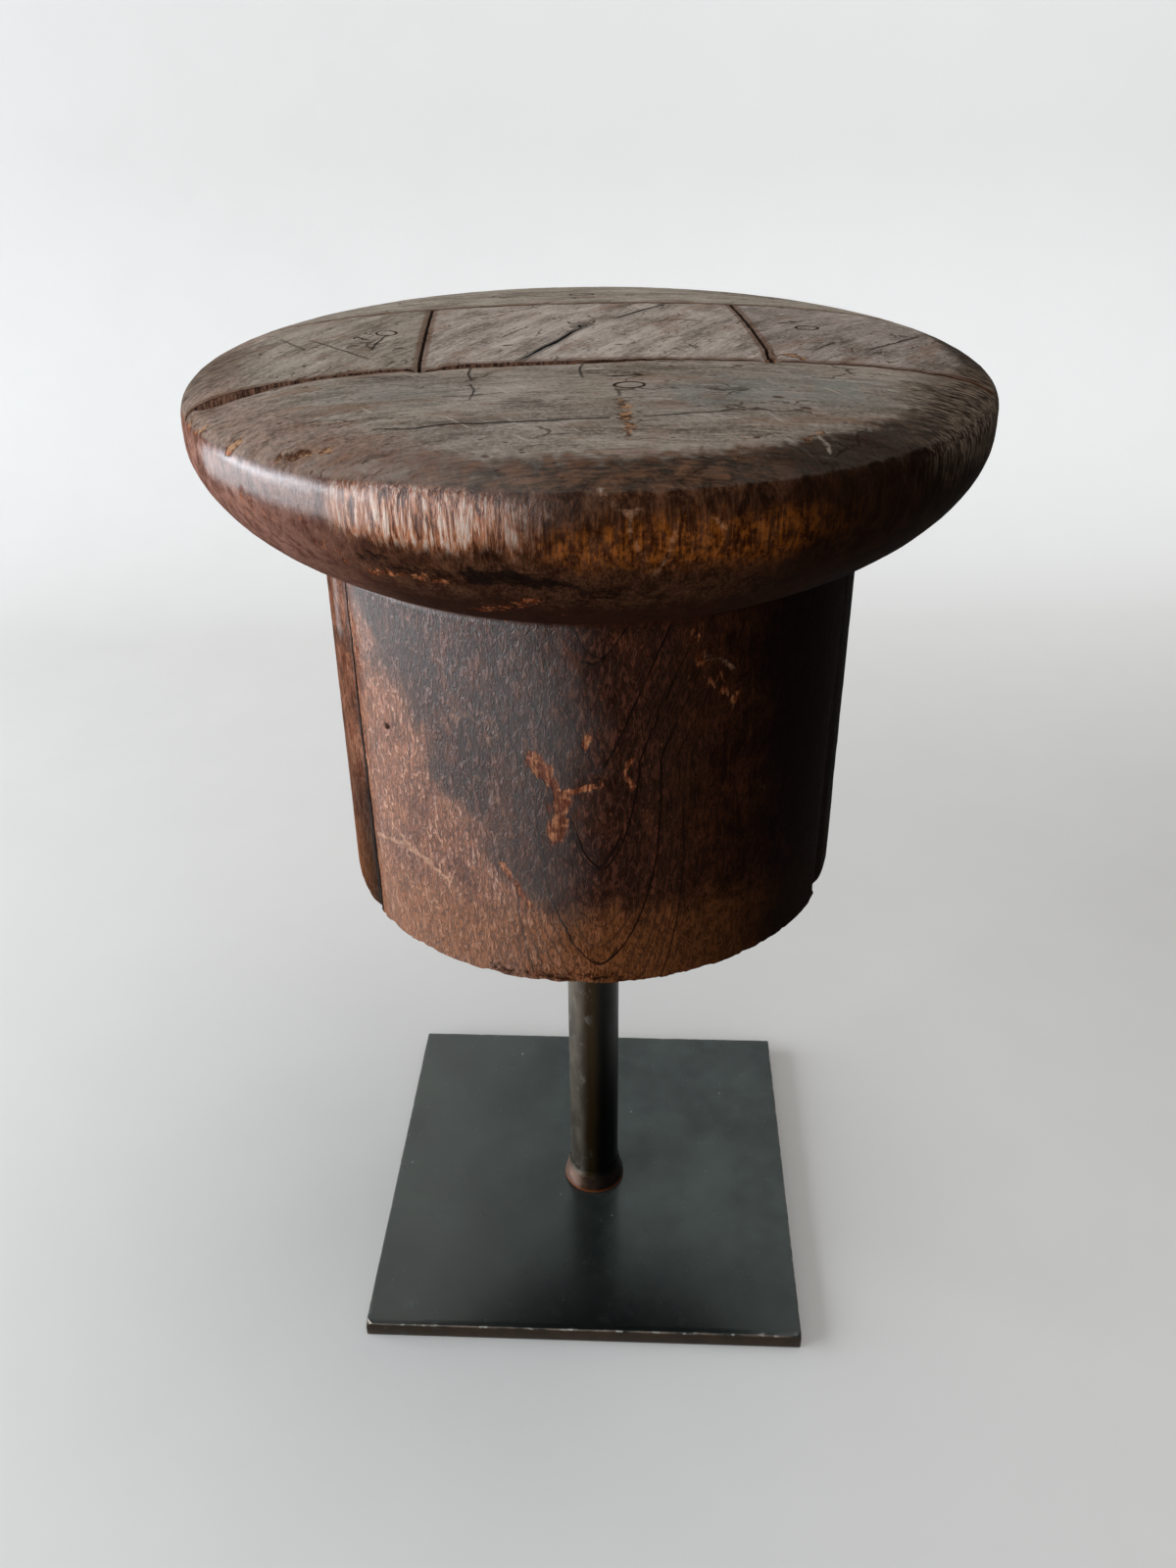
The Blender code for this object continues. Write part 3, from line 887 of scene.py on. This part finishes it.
grain = {
    "arch": 36.0,           # mm from one pointed growth ring on the front to the next
    "archTip": 196.0,       # height of the lowest tip
    "archSide": -2.5,       # how far the tips lie to the right of the middle
    "archSlope": 20.0,
    "ringGap": 2.2,         # growth rings across the top
    "checkSize": 11.0,      # between the fine drying checks of the top
    "wrinkle": 1.5,         # width of the leathery wrinkles in the wax
    "rib": 1.6,
}


def archLines(place, x, z):
    # Growth rings cut by the drum's face: pointed arches, their tips on one upright line.
    sway = (cloud(place, 9, 2) - 0.5) * 5.0
    across = abs(x + (sway * 0.5 - grain["archSide"]))
    width = 8.0 + abs((270 - z) * 0.1)
    share = across / width
    climb = share ** 1.6
    rise = z - climb * grain["archSlope"] + sway
    slope = (share ** 0.6) / width * (1.6 * grain["archSlope"])
    steep = (slope * slope + 1.0) ** 0.5
    count = (rise - grain["archTip"]) / grain["arch"]
    near = abs(count.math("FRACT", count + 0.5) - 0.5) * grain["arch"] / steep
    fine = count * 5
    close = abs(fine.math("FRACT", fine + 0.5) - 0.5) * (grain["arch"] / 5) / steep
    middle = 1 - ease(across, 18, 38)
    return (1 - ease(near, 0.12, 0.46)) * middle, (1 - ease(close, 0.05, 0.55)) * middle


def topLook(place, rings, plan, patch):
    # Bare, greyed wood: faint streaks along the rings, pores, drying checks and pale dust.
    streak = cloud(stretched(rings, 12, 1, 8), 0.8, 4, 0.7)
    broad = cloud(stretched(rings, 3.4, 1, 3), 8, 6, 0.68)
    speckle = cloud(place, 1.3, 4, 0.75)
    tint = ease(broad * 0.50 + streak * 0.28 + speckle * 0.34, 0.42, 0.68)
    chalk = cloud(stretched(shifted(rings, 30, 0, 0), 4, 1, 3), 3.0, 5, 0.75)
    tan = cloud(stretched(shifted(rings, 0, 30, 0), 3.2, 1, 3), 9, 4, 0.65)
    line = 1 - ease(abs(cloud(stretched(rings, 22, 1, 10), grain["ringGap"], 2) - 0.5), 0.0, 0.022)
    slant = stretched(swung(place, 0.9), 26, 1, 10)
    scratch = 1 - ease(abs(cloud(slant, 7, 2) - 0.5), 0.0, 0.006)
    pits = 1 - ease(cells(stretched(rings, 2.6, 1, 6), 1.9), 0.08, 0.22)
    pits = pits * ease(cloud(place, 7, 3), 0.48, 0.58)
    holes = cells(stretched(place, 2.2, 1, 3).vector("ADD", drift(place, 1.6)), 7.5)
    holes = (1 - ease(holes, 0.06, 0.13)) * ease(cloud(shifted(place, 0, 0, 70), 13, 3), 0.46, 0.54)
    bent = rings.vector("ADD", drift(place, 5).vector("MULTIPLY", (7, 7, 7)))
    checks = cells(stretched(bent, 3.0, 1, 3), grain["checkSize"], "DISTANCE_TO_EDGE")
    checks = (1 - ease(checks, 0.004, 0.030)) * ease(cloud(shifted(place, 0, 60, 0), 15, 3), 0.50, 0.60)
    colour = layered(
        paint(*plan["top"], tint),
        ("slate", painted(place, "slate") * ease(patch, 0.3, 0.6) * 0.7),
        ("chalk", ease(chalk, 0.54, 0.72) * 0.5),
        ("tan", ease(tan, 0.53, 0.66) * 0.45),
        ("line", line * ease(broad, 0.45, 0.6) * 0.45),
        ("scratch", scratch * ease(cloud(place, 12, 2), 0.5, 0.6) * 0.5),
        ("pit", pits * 0.85),
        ("hole", holes * 0.85),
        ("line", checks * 0.8),
    )
    relief = streak * 0.10 + speckle * 0.09 + pits * -0.3 + holes * -0.4 + checks * -0.25 + line * -0.04
    return colour, relief


def sideLook(name, place, plan, fibre, blotch, patch, torn):
    # Waxed and handled wood: patches of wax, wrinkles, ribs worn into the rim, and growth rings.
    wave = cloud(stretched(place, 1, 1, 2.8), grain["wrinkle"], 3, 0.6, 0.9)
    fine = cloud(stretched(place, 1, 1, 2.4), 0.6, 2, 0.6, 0.4)
    groove = 1 - ease(abs(wave - 0.47), 0.0, 0.085)
    x, y, z = place.parts()
    onDrum = 1 - ease(z, junction / mm - 2, junction / mm)
    uneven = (patch - 0.5) * 1.0 + (blotch - 0.5) * 0.8
    stain = shades("stain", ease(wave * 0.6 + torn * 0.4, 0.38, 0.62))
    ruddy = shades("ruddy", ease(fibre * 0.5 + torn * 0.35 + patch * 0.35, 0.44, 0.72))
    ruddy = paint(ruddy, "ruddyPale", ease(fine * 0.5 + wave * 0.5, 0.53, 0.66) * 0.75)
    blush = ease(cloud(shifted(stretched(place, 1, 1, 1.8), 0, 0, 90), 13, 5, 0.7, 0.6), 0.52, 0.64)
    flesh = shades("flesh", ease(torn * 0.5 + blotch * 0.55, 0.38, 0.72))
    amber = shades("amber", ease(fibre * 0.4 + torn * 0.6, 0.43, 0.61))
    ribWave = cloud(stretched(place, 1, 1, 7), grain["rib"] * 1.3, 5, 0.68, 0.5)
    ribs = painted(place, "ribs")
    rib = paint("ribDark", "ribMiddle", ease(ribWave * 0.7 + fibre * 0.3, 0.42, 0.54))
    # Painted highlight: the light ridges of the ribs stand for the shine of the wax on them.
    crestHighlight = ease(ribWave * 0.55 + fibre * 0.45, 0.50, 0.58) * ease(torn * 0.5 + blotch * 0.5, 0.36, 0.50)
    rib = paint(rib, "ribHighlight", crestHighlight * 0.95)
    fleck = 1 - ease(cells(stretched(place, 1, 1, 1.6), 4.2), 0.05, 0.16)
    fleck = fleck * ease(torn, 0.42, 0.55) * ease(patch, 0.42, 0.6)
    colour = layered(
        paint(*plan["side"], ease(fibre * 0.35 + blotch * 0.5 + patch * 0.2, 0.40, 0.66)),
        (stain, ease(patch * 0.7 + blotch * 0.3, 0.47, 0.60) * 0.75),
        (ruddy, ease(painted(place, "ruddy") + uneven, 0.12, 0.75)),
        (stain, ease(painted(place, "stain") + uneven, 0.25, 0.85) * 0.88),
        # Painted light: the reddish tone grows towards the drum's foot, for warm light thrown up from the
        # floor.
        ("blush", blush * onDrum * (0.55 + painted(place, "foot") * 0.4)),
        (flesh, painted(place, "flesh") * 0.85),
        (amber, ease(painted(place, "amber") + uneven * 0.6, 0.25, 0.9) * 0.9),
        ("under", ease(painted(place, "under") + (blotch - 0.5) * 0.8, 0.1, 0.9) * 0.72),
        (rib, ragged(ribs, blotch, 0.3) * 0.9),
        # The reddish torn border of the foot, lightened by painted light from the floor below.
        ("foot", ragged(painted(place, "foot"), blotch, 0.25) * 0.6),
        ("fleck", fleck * 0.7),
        # Painted shade in the creases of the wrinkles.
        ("groove", groove * onDrum * ease(torn, 0.36, 0.52) * 0.7),
        ("glint", ease(wave, 0.57, 0.70) * painted(place, "gloss") * onDrum * 0.36),
        # Painted shade on the right side, and the charred wood of the left piece.
        ("shadeAndChar", painted(place, "shadeAndChar") * 0.96),
    )
    if name in ("front", "back"):
        strong, faint = archLines(place, x, z)
        colour = layered(colour, ("pit", faint * onDrum * 0.6),
                         ("soot", strong * onDrum * ease(patch, 0.3, 0.5) * 0.85))
    wrinkles = (wave * 0.7 + fine * 0.4 - groove * 0.12) * (0.3 + onDrum * 0.7)
    return colour, fibre * 0.14 + wrinkles + ribWave * ribs * 1.7 - fleck * 0.1


def woodFinish(name, plan):
    material, place = startFinish(name + "Skin", Specular_IOR_Level=0.75, Coat_Roughness=0.25)
    rings = swung(place, -radians(plan["ringTurn"]))
    fibre = cloud(stretched(place, 1, 1, 11), 0.8, 4, 0.62)
    blotch = cloud(stretched(place, 1, 1, 1.5), 6, 5, 0.66, 0.6)
    patch = cloud(shifted(place, 40, 0, 0), 21, 4, 0.6, 0.8)
    torn = cloud(place, 2.6, 5, 0.68)
    # Painted shade along the top's rounded edge.
    edgeShade = ease(painted(place, "edgeShade") + (blotch - 0.5) * 1.1 + (torn - 0.5) * 0.9, 0.3, 0.85)
    weather = ragged(painted(place, "weather"), blotch, 0.3)
    ribs, polish = painted(place, "ribs"), painted(place, "polish")
    top, topRelief = topLook(place, rings, plan, patch)
    side, sideRelief = sideLook(name, place, plan, fibre, blotch, patch, torn)

    across, down = (cloud(stretched(place, *size), 0.9, 4, 0.62, 0.5) for size in ((6, 1, 3), (1, 1, 8)))
    strands = down + (across - down) * weather
    edgeShadeTone = shades("edgeShade", ease(strands * 0.5 + blotch * 0.5, 0.40, 0.64))
    # Painted shade: the edge band is darker on the right side too.
    edgeShadeTone = paint(edgeShadeTone, "edgeShadeDark", ease(painted(place, "shadeAndChar"), 0.0, 0.5) * 0.85)
    mauve = ease(painted(place, "mauve") + (blotch - 0.5) * 0.8, 0.1, 1.0) * weather
    wool = ragged(painted(place, "wool"), blotch, 0.4)
    splinter = cloud(stretched(place, 1, 1, 2.2), 2.4, 4, 0.65)
    ember = ease(painted(place, "ember") + (splinter - 0.5) * 1.7, 0.38, 0.66)
    ember = ember * ease(painted(place, "ember"), 0.05, 0.25)
    emberTone = shades("ember", ease(fibre * 0.5 + torn * 0.5, 0.45, 0.62))
    emberTop = shades("emberTop", ease(torn, 0.42, 0.60))
    smear = cloud(stretched(place, 2.2, 1.4, 1), 2.6, 5, 0.7, 0.5)
    soot = ease(painted(place, "soot") + (smear - 0.5) * 1.5, 0.42, 0.72)
    colour = layered(
        paint(side, top, weather),
        (edgeShadeTone, edgeShade * 0.88 * (0.68 + weather * 0.32) * (1 - ribs * 0.6)),
        (shades("mauve", ease(torn, 0.36, 0.64)), mauve * 0.5 * (1 - ribs * 0.8)),
        (shades("wool", ease(strands, 0.42, 0.62)), wool * 0.7),
        (paint(emberTone, emberTop, weather), ember * 0.92),
        (paint("paleSide", "pale", weather), ragged(painted(place, "pale"), torn, 0.2) * 0.6),
        ("soot", soot * 0.88),
        # Painted shade along the cracks and the struck numbers.
        ("seam", ease(painted(place, "crack"), 0.6, 1.0) * 0.55),
        ("halo", ragged(painted(place, "halo"), torn, 0.3) * weather * 0.6),
        ("seam", ragged(painted(place, "seam"), torn, 0.2) * 0.93),
    )

    roughness = 0.40 + (fibre - 0.5) * 0.35
    roughness = roughness + (0.74 - roughness) * weather
    roughness = roughness + (0.85 - roughness) * (ember * 0.8)
    gloss = ease(painted(place, "gloss") + (blotch - 0.5) * 0.5 - painted(place, "ruddy") * 0.3
                 + polish * 0.4, 0.1, 0.9)
    coat = polish * (1 - weather * 0.8) * (1 - ember) * (1 - soot) * 0.9
    relief = sideRelief + (topRelief - sideRelief) * weather
    relief = relief + ember * (torn - 1.0) * 0.6 - soot * torn * 0.35 + strands * wool * 0.8
    dull = 1 - gloss * (1 - soot) * (1 - weather * 0.6) * (1 - ribs * 0.1)
    return endFinish(material, colour, roughness, relief, coat=coat, dull=dull)


sawnLook = {
    "dark": "22140c",
    "light": "5f3e2a",
    "litRustDark": "301b12",
    "litRustLight": "87604b",
    "ribs": 0.9,                    # mm from one mark of the saw to the next
    "seamShade": "0c0705",
    "seamShadeReach": (82, 87.5),       # mm from the block's middle
}


def sawnFinish(name):
    # Wood as the saw left it: upright marks, rough, darkened by hands and smoke; lighter along one seam
    # as painted light, and painted shade in the seams of the drum and in the cracks.
    material, place = startFinish(name + "Sawn", Specular_IOR_Level=0.25)
    marksOfSaw = cloud(stretched(place, 1, 1, 9), sawnLook["ribs"], 3, 0.6)
    stain = cloud(place, 16, 4)
    colour = paint(sawnLook["dark"], sawnLook["light"], ease(marksOfSaw * 0.7 + stain * 0.4, 0.35, 0.75))
    # Reddish wood along a seam, lightened as painted light where the lamps leave the sawn faces dark.
    litRust = paint(sawnLook["litRustDark"], sawnLook["litRustLight"],
                 ease(marksOfSaw * 0.6 + cloud(place, 1.3, 4, 0.7) * 0.4, 0.40, 0.60))
    colour = paint(colour, litRust, ease(painted(place, "litRust"), 0.1, 0.6))
    # Painted shade on the sawn faces in the seams of the drum, over their outer few millimetres.
    x, y, z = place.parts()
    below = 1 - ease(z, junction / mm, junction / mm + 5)
    seamShade = ease((x * x + y * y) ** 0.5, *sawnLook["seamShadeReach"]) * below
    # Painted shade in the cracks and the struck numbers.
    crack = ease(painted(place, "crack"), 0.2, 0.8)
    colour = paint(colour, sawnLook["seamShade"], (1 - (1 - crack) * (1 - seamShade)) * 0.95)
    return endFinish(material, colour, 0.8 + (stain - 0.5) * 0.2, marksOfSaw * 0.5)


for name, plan in segments.items():
    makeSegment(name, plan, woodFinish(name, plan), sawnFinish(name))
    print("wood made:", name)


# The stand
plate = {
    "turn": -5.5,           # degrees
    "arris": 0.0007,
    "cuts": 56,
    "edgeWear": 0.12,       # mm
    "edgeWearSize": 6,      # mm
    "nick": {"corner": (-1, -1), "size": 0.0030},
    "chip": {"corner": (1, -1), "size": 0.0020},
}
post = {"gap": 0.0003, "chamfer": 0.0006, "steps": 96, "rings": 40, "spigotRadius": 0.008,
        "spigotChamfer": 0.002}
bead = {"reach": 0.0029, "slim": 0.0006, "lip": 0.0001, "steps": 14, "waver": 0.22, "waverSize": 4}
disc = {"chamfer": 0.0004, "bore": 0.0081, "steps": 128}
splineLook = {"arris": 0.0004}


def plateHalf():
    low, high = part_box("base_plate")
    turn = radians(plate["turn"])
    return (high.x - low.x) / 2 / (cos(turn) + abs(sin(turn)))


def makePlate(finish):
    low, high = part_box("base_plate")
    turn, half = radians(plate["turn"]), plateHalf()
    bm = boxBetween((-half, -half, 0.0), (half, half, high.z))
    for kind in ("nick", "chip"):
        across, down = plate[kind]["corner"]
        size = plate[kind]["size"]
        normal = Vector((across, down, 1.1)).normalized()
        corner = Vector((across * half, down * half, high.z)) - normal * size * 0.55
        cutPlane(bm, corner, normal, saw=True)
    bmesh.ops.bevel(bm, geom=bm.edges[:], offset=plate["arris"], segments=3, profile=0.5,
                    affect="EDGES", material=-1)
    for axis in (Vector((1, 0, 0)), Vector((0, 1, 0))):
        for offset in np.linspace(-half, half, plate["cuts"] + 2)[1:-1]:
            cutPlane(bm, axis * offset, axis, 0.2 * mm)
    for vert in bm.verts:
        edge = half - max(abs(vert.co.x), abs(vert.co.y))
        if edge < plate["arris"] * 1.2 and vert.co.z > plate["arris"]:
            lump = noise.fractal(vert.co / (plate["edgeWearSize"] * mm), 0.7, 2.0, 3)
            bite = plate["edgeWear"] * mm * max(0.0, lump)
            vert.co.x -= bite * (1 if vert.co.x > 0 else -1)
            vert.co.y -= bite * (1 if vert.co.y > 0 else -1)
            vert.co.z -= bite
    bmesh.ops.rotate(bm, verts=bm.verts, cent=(0, 0, 0), matrix=Matrix.Rotation(turn, 3, "Z"))
    middle = (low + high) / 2
    bmesh.ops.translate(bm, verts=bm.verts, vec=(middle.x, middle.y, 0.0))
    bmesh.ops.recalc_face_normals(bm, faces=bm.faces[:])
    return makePiece("plate_blackened", bm, finish)


def makePost(finish):
    low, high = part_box("post")
    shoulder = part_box("rest_disc")[0].z - post["gap"]
    radius, chamfer, tip = high.x, post["chamfer"], post["spigotChamfer"]
    outline = [(0.0, low.z)]
    for height in np.linspace(low.z, shoulder - chamfer, post["rings"]):
        outline.append((radius, height))
    outline += [(radius - chamfer, shoulder), (post["spigotRadius"], shoulder),
                (post["spigotRadius"], high.z - tip), (post["spigotRadius"] - tip, high.z), (0.0, high.z)]
    return makePiece("post_blackened", turnOutline(outline, post["steps"]), finish)


def makeBead(finish):
    low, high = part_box("foot_fillet")
    bore = high.x - bead["reach"]
    outline = [(bore, low.z)]
    for step in range(bead["steps"] + 1):
        share = step / bead["steps"]
        swell = (bead["reach"] - bead["slim"]) * (1 - share * share * (3 - 2 * share))
        outline.append((bore + bead["lip"] + swell, low.z + (high.z - low.z) * share))
    outline.append((bore, high.z))
    bm = turnOutline(outline, post["steps"])
    for vert in bm.verts:
        radius = hypot(vert.co.x, vert.co.y)
        if radius > bore + bead["lip"] / 2:
            lump = noise.fractal(vert.co / (bead["waverSize"] * mm), 0.7, 2.0, 3)
            sink = bead["waver"] * mm * (0.5 + 0.5 * lump)
            factor = max(radius - max(sink, 0.0), bore + bead["lip"] / 2) / radius
            vert.co.x *= factor
            vert.co.y *= factor
    return makePiece("braze_bead", bm, finish)


def makeDisc(finish):
    low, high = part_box("rest_disc")
    radius, chamfer = high.x, disc["chamfer"]
    outline = [(disc["bore"], low.z), (radius - chamfer, low.z), (radius, low.z + chamfer),
               (radius, high.z - chamfer), (radius - chamfer, high.z), (disc["bore"], high.z)]
    return makePiece("rest_disc_steel", turnOutline(outline, disc["steps"]), finish)


def makeSpline(node, finish):
    low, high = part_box(node)
    bm = boxBetween(low, high)
    bmesh.ops.bevel(bm, geom=bm.edges[:], offset=splineLook["arris"], segments=2, profile=0.5,
                    affect="EDGES", material=-1)
    return makePiece(node + "_wood", bm, finish)


def plateFinish():
    material, place = startFinish("plateSteel", Specular_IOR_Level=0.5)
    mottle = cloud(place, 34, 4, 0.55)
    patina = cloud(shifted(place, 90, 0, 0), 9, 4, 0.6)
    sand = cloud(place, 0.8, 3, 0.6)
    x, y, height = place.parts()
    top = plateTop / mm
    arris = ease(height, top - 1.0, top - 0.5) * (1 - ease(height, top - 0.25, top - 0.02))
    chips = ease(cloud(shifted(place, 0, 50, 0), 4.5, 3), 0.54, 0.64)
    specks = 1 - ease(cells(place, 17), 0.02, 0.045)
    spot = Matrix.Rotation(radians(plate["turn"]), 3, "Z") @ Vector((-1, -1, 0)) * plateHalf() / mm
    near = place.vector("DISTANCE", (spot.x, spot.y, top), output=1)
    scuff = ease(cloud(stretched(place, 1, 1.5, 1), 8, 5, 0.7), 0.52, 0.64)
    colour = layered(
        paint("323938", "48504d", ease(mottle * 0.7 + patina * 0.3, 0.30, 0.75)),
        # Painted reflection: the front is darkened where the dark block and post would be mirrored.
        ("0d1110", (1 - ease(y, -115, -5)) * (1 - ease(abs(x + 8), 25, 95) * 0.45) * 0.95),
        # Painted light: lighter towards the left, the side the lamp is on.
        ("6a6b66", (1 - ease(x + (patina - 0.5) * 30, -85, -5)) * 0.35),
        (paint("1c130b", "4a3724", patina), 1 - ease(height, top - 1.2, top - 0.2)),
        ("6f6358", arris * ease(patina, 0.35, 0.6)),
        ("a6a8a4", arris * chips),
        ("8f9290", specks * ease(mottle, 0.45, 0.55)),
        ("c3c8c9", (1 - ease(near + patina * 2, 2.6, 4.2)) * 0.85),
        ("5d6769", scuff * (1 - ease(near, 8, 34)) * 0.5),
    )
    roughness = 0.21 + (patina - 0.5) * 0.12 + (sand - 0.5) * 0.06 + scuff * 0.06
    return endFinish(material, colour, roughness, sand * 0.008 + patina * 0.02,
                     0.6 + (mottle - 0.5) * 0.2)


def bronzeWithPaintedLight(place, patina):
    # Dark, bronzy brown steel with painted light and shade: grey on the left, where the light comes from,
    # black on the right, and grey scuffs only on the left.
    x, y, z = place.parts()
    across = x + y * 0.15 + (patina - 0.5) * 3
    scuff = ease(cloud(stretched(place, 1, 1, 1.5), 4.5, 5, 0.7), 0.55, 0.66) * (1 - ease(x, -6, 0))
    colour = layered(paint("5c544a", "7a7164", ease(patina, 0.36, 0.64)),
                     ("33250d", ease(across, -8.5, -4.0)), ("020100", ease(across, -3.5, 2.0)),
                     ("928d88", scuff * 0.55))
    return colour, scuff


def postFinish():
    material, place = startFinish("postSteel", Specular_IOR_Level=0.5)
    patina = cloud(stretched(place, 1, 1, 2.5), 8, 4, 0.6)
    sand = cloud(place, 0.8, 3, 0.6)
    colour, scuff = bronzeWithPaintedLight(place, patina)
    roughness = 0.34 + (patina - 0.5) * 0.2 + scuff * 0.1
    return endFinish(material, colour, roughness, patina * 0.03 + sand * 0.006,
                     0.7 + (patina - 0.5) * 0.2)


def beadFinish():
    material, place = startFinish("copperyBraze", Specular_IOR_Level=0.5)
    patina = cloud(place, 4, 4, 0.6)
    x, y, height = place.parts()
    top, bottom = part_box("foot_fillet")[1].z / mm, plateTop / mm
    colour = layered(
        paint("33231a", "57402f", ease(patina, 0.35, 0.65)),
        # Painted highlight on the left and painted shade on the right.
        ("a78474", (1 - ease(x + (patina - 0.5) * 4, -10.5, -5.0)) * 0.6),
        ("100905", ease(x, -5.0, 3.0) * 0.85),
        ("b3602f", (1 - ease(height, bottom + 0.4, bottom + 2.0)) * 0.8),
        (bronzeWithPaintedLight(place, patina)[0], ease(height + (patina - 0.5) * 2, top - 4.2, top - 1.6)),
    )
    return endFinish(material, colour, 0.38 + (patina - 0.5) * 0.2, patina * 0.06,
                     0.6 + (patina - 0.5) * 0.2)


def discFinish():
    material, place = startFinish("discSteel", Specular_IOR_Level=0.5)
    x, y, z = place.parts()
    radius = (x * x + y * y) ** 0.5
    rings = cloud(radius.node("CombineXYZ", None, {0: radius}), 0.5, 3)
    patina = cloud(place, 9, 4)
    colour = paint("1f1e1c", "57534c", ease(rings * 0.5 + patina * 0.6, 0.35, 0.8))
    return endFinish(material, colour, 0.4 + (rings - 0.5) * 0.2, rings * 0.03,
                     0.8 + (patina - 0.5) * 0.1)


def splineFinish():
    material, place = startFinish("splineBeech", Specular_IOR_Level=0.4)
    fibre = cloud(stretched(place, 9, 1, 1), 0.8, 4, 0.6)
    stain = cloud(place, 6, 3)
    colour = paint("6d4526", "b98a58", ease(fibre * 0.7 + stain * 0.4, 0.35, 0.75))
    return endFinish(material, colour, 0.6 + (fibre - 0.5) * 0.2, fibre * 0.1)


stand = {
    "base_plate": (makePlate(plateFinish()), "stand", "base_plate_steel"),
    "post": (makePost(postFinish()), "stand", "post_steel"),
    "foot_fillet": (makeBead(beadFinish()), "stand", "foot_braze"),
    "rest_disc": (makeDisc(discFinish()), "turning_disc", "rest_disc_steel"),
}
beech = splineFinish()
for node in splines:
    stand[node] = (makeSpline(node, beech), node.split("_")[-1], "spline_wood")
for node, (piece, body, slot) in stand.items():
    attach(piece, body)
    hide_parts(node)
print("stand made")


def makeCamera():
    data = bpy.data.cameras.new("camera")
    data.sensor_fit = "VERTICAL"
    data.sensor_width = camera["sensor"]
    data.sensor_height = camera["sensor"]
    data.lens = camera["lens"]
    eye = addObject("camera", data)
    turn = Matrix.Rotation(-radians(camera["turn"]), 4, "Z")
    tilt = Matrix.Rotation(radians(90 - camera["tilt"]), 4, "X")
    roll = Matrix.Rotation(radians(camera["roll"]), 4, "Z")
    eye.matrix_world = Matrix.Translation(camera["place"]) @ turn @ tilt @ roll
    bpy.context.scene.camera = eye


def makeRoom():
    # A pale floor that turns up into the backdrop in one sweep.
    bend, radius = room["bendStart"], room["bendRadius"]
    profile = [(room["front"], 0.0)]
    for step in range(room["bendSteps"] + 1):
        angle = pi / 2 * step / room["bendSteps"]
        profile.append((bend + radius * sin(angle), radius * (1 - cos(angle))))
    profile.append((bend + radius, room["height"]))
    bm = bmesh.new()
    verts = [bm.verts.new((-room["halfWidth"], y, z)) for y, z in profile]
    edges = [bm.edges.new(pair) for pair in zip(verts, verts[1:])]
    made = bmesh.ops.extrude_edge_only(bm, edges=edges)["geom"]
    moved = [part for part in made if isinstance(part, bmesh.types.BMVert)]
    bmesh.ops.translate(bm, verts=moved, vec=(2 * room["halfWidth"], 0.0, 0.0))
    bmesh.ops.recalc_face_normals(bm, faces=bm.faces[:])
    material, place = startFinish("paleFloor", Specular_IOR_Level=0.2, Emission_Strength=1.0)
    path = place.tree.nodes.new("ShaderNodeLightPath")
    rays = [Wire(place.tree, path.outputs["Is %s Ray" % kind])
            for kind in ("Camera", "Glossy", "Transmission")]
    seen = place.math("MAXIMUM", place.math("MAXIMUM", rays[0], rays[1]), rays[2])
    speckle = cloud(place, 60, 4)
    colour = paint(room["bounce"], paint(room["tone"], room["cloudTone"], speckle), seen)
    x, y, z = place.parts()
    glow = paint("000000", paint(room["glowLeft"], room["glowRight"], ease(x, -900, 700)),
                 seen * ease(y, 150, 950))
    place.tree.links.new(glow.socket, place.tree.nodes["Principled BSDF"].inputs["Emission Color"])
    endFinish(material, colour, 0.75 + (speckle - 0.5) * 0.1, speckle * 0.1)
    makePiece("floor", bm, material)


def makeLamps():
    for name, lamp in lamps.items():
        data = bpy.data.lights.new(name, "AREA")
        data.shape = "RECTANGLE"
        data.size, data.size_y = lamp["width"], lamp["height"]
        data.energy = lamp["power"]
        data.color = lamp["tint"]
        light = addObject(name, data)
        light.location = lamp["place"]
        aim = Vector(lamp["aim"]) - Vector(lamp["place"])
        light.rotation_euler = aim.to_track_quat("-Z", "Y").to_euler()
    world = bpy.data.worlds.new("sky")
    world.use_nodes = True
    background = world.node_tree.nodes["Background"]
    background.inputs["Color"].default_value = room["skyTone"]
    background.inputs["Strength"].default_value = room["skyStrength"]
    bpy.context.scene.world = world


makeCamera()
makeRoom()
makeLamps()
bpy.context.scene.view_settings.view_transform = "Standard"
print("room, lamps and camera made")
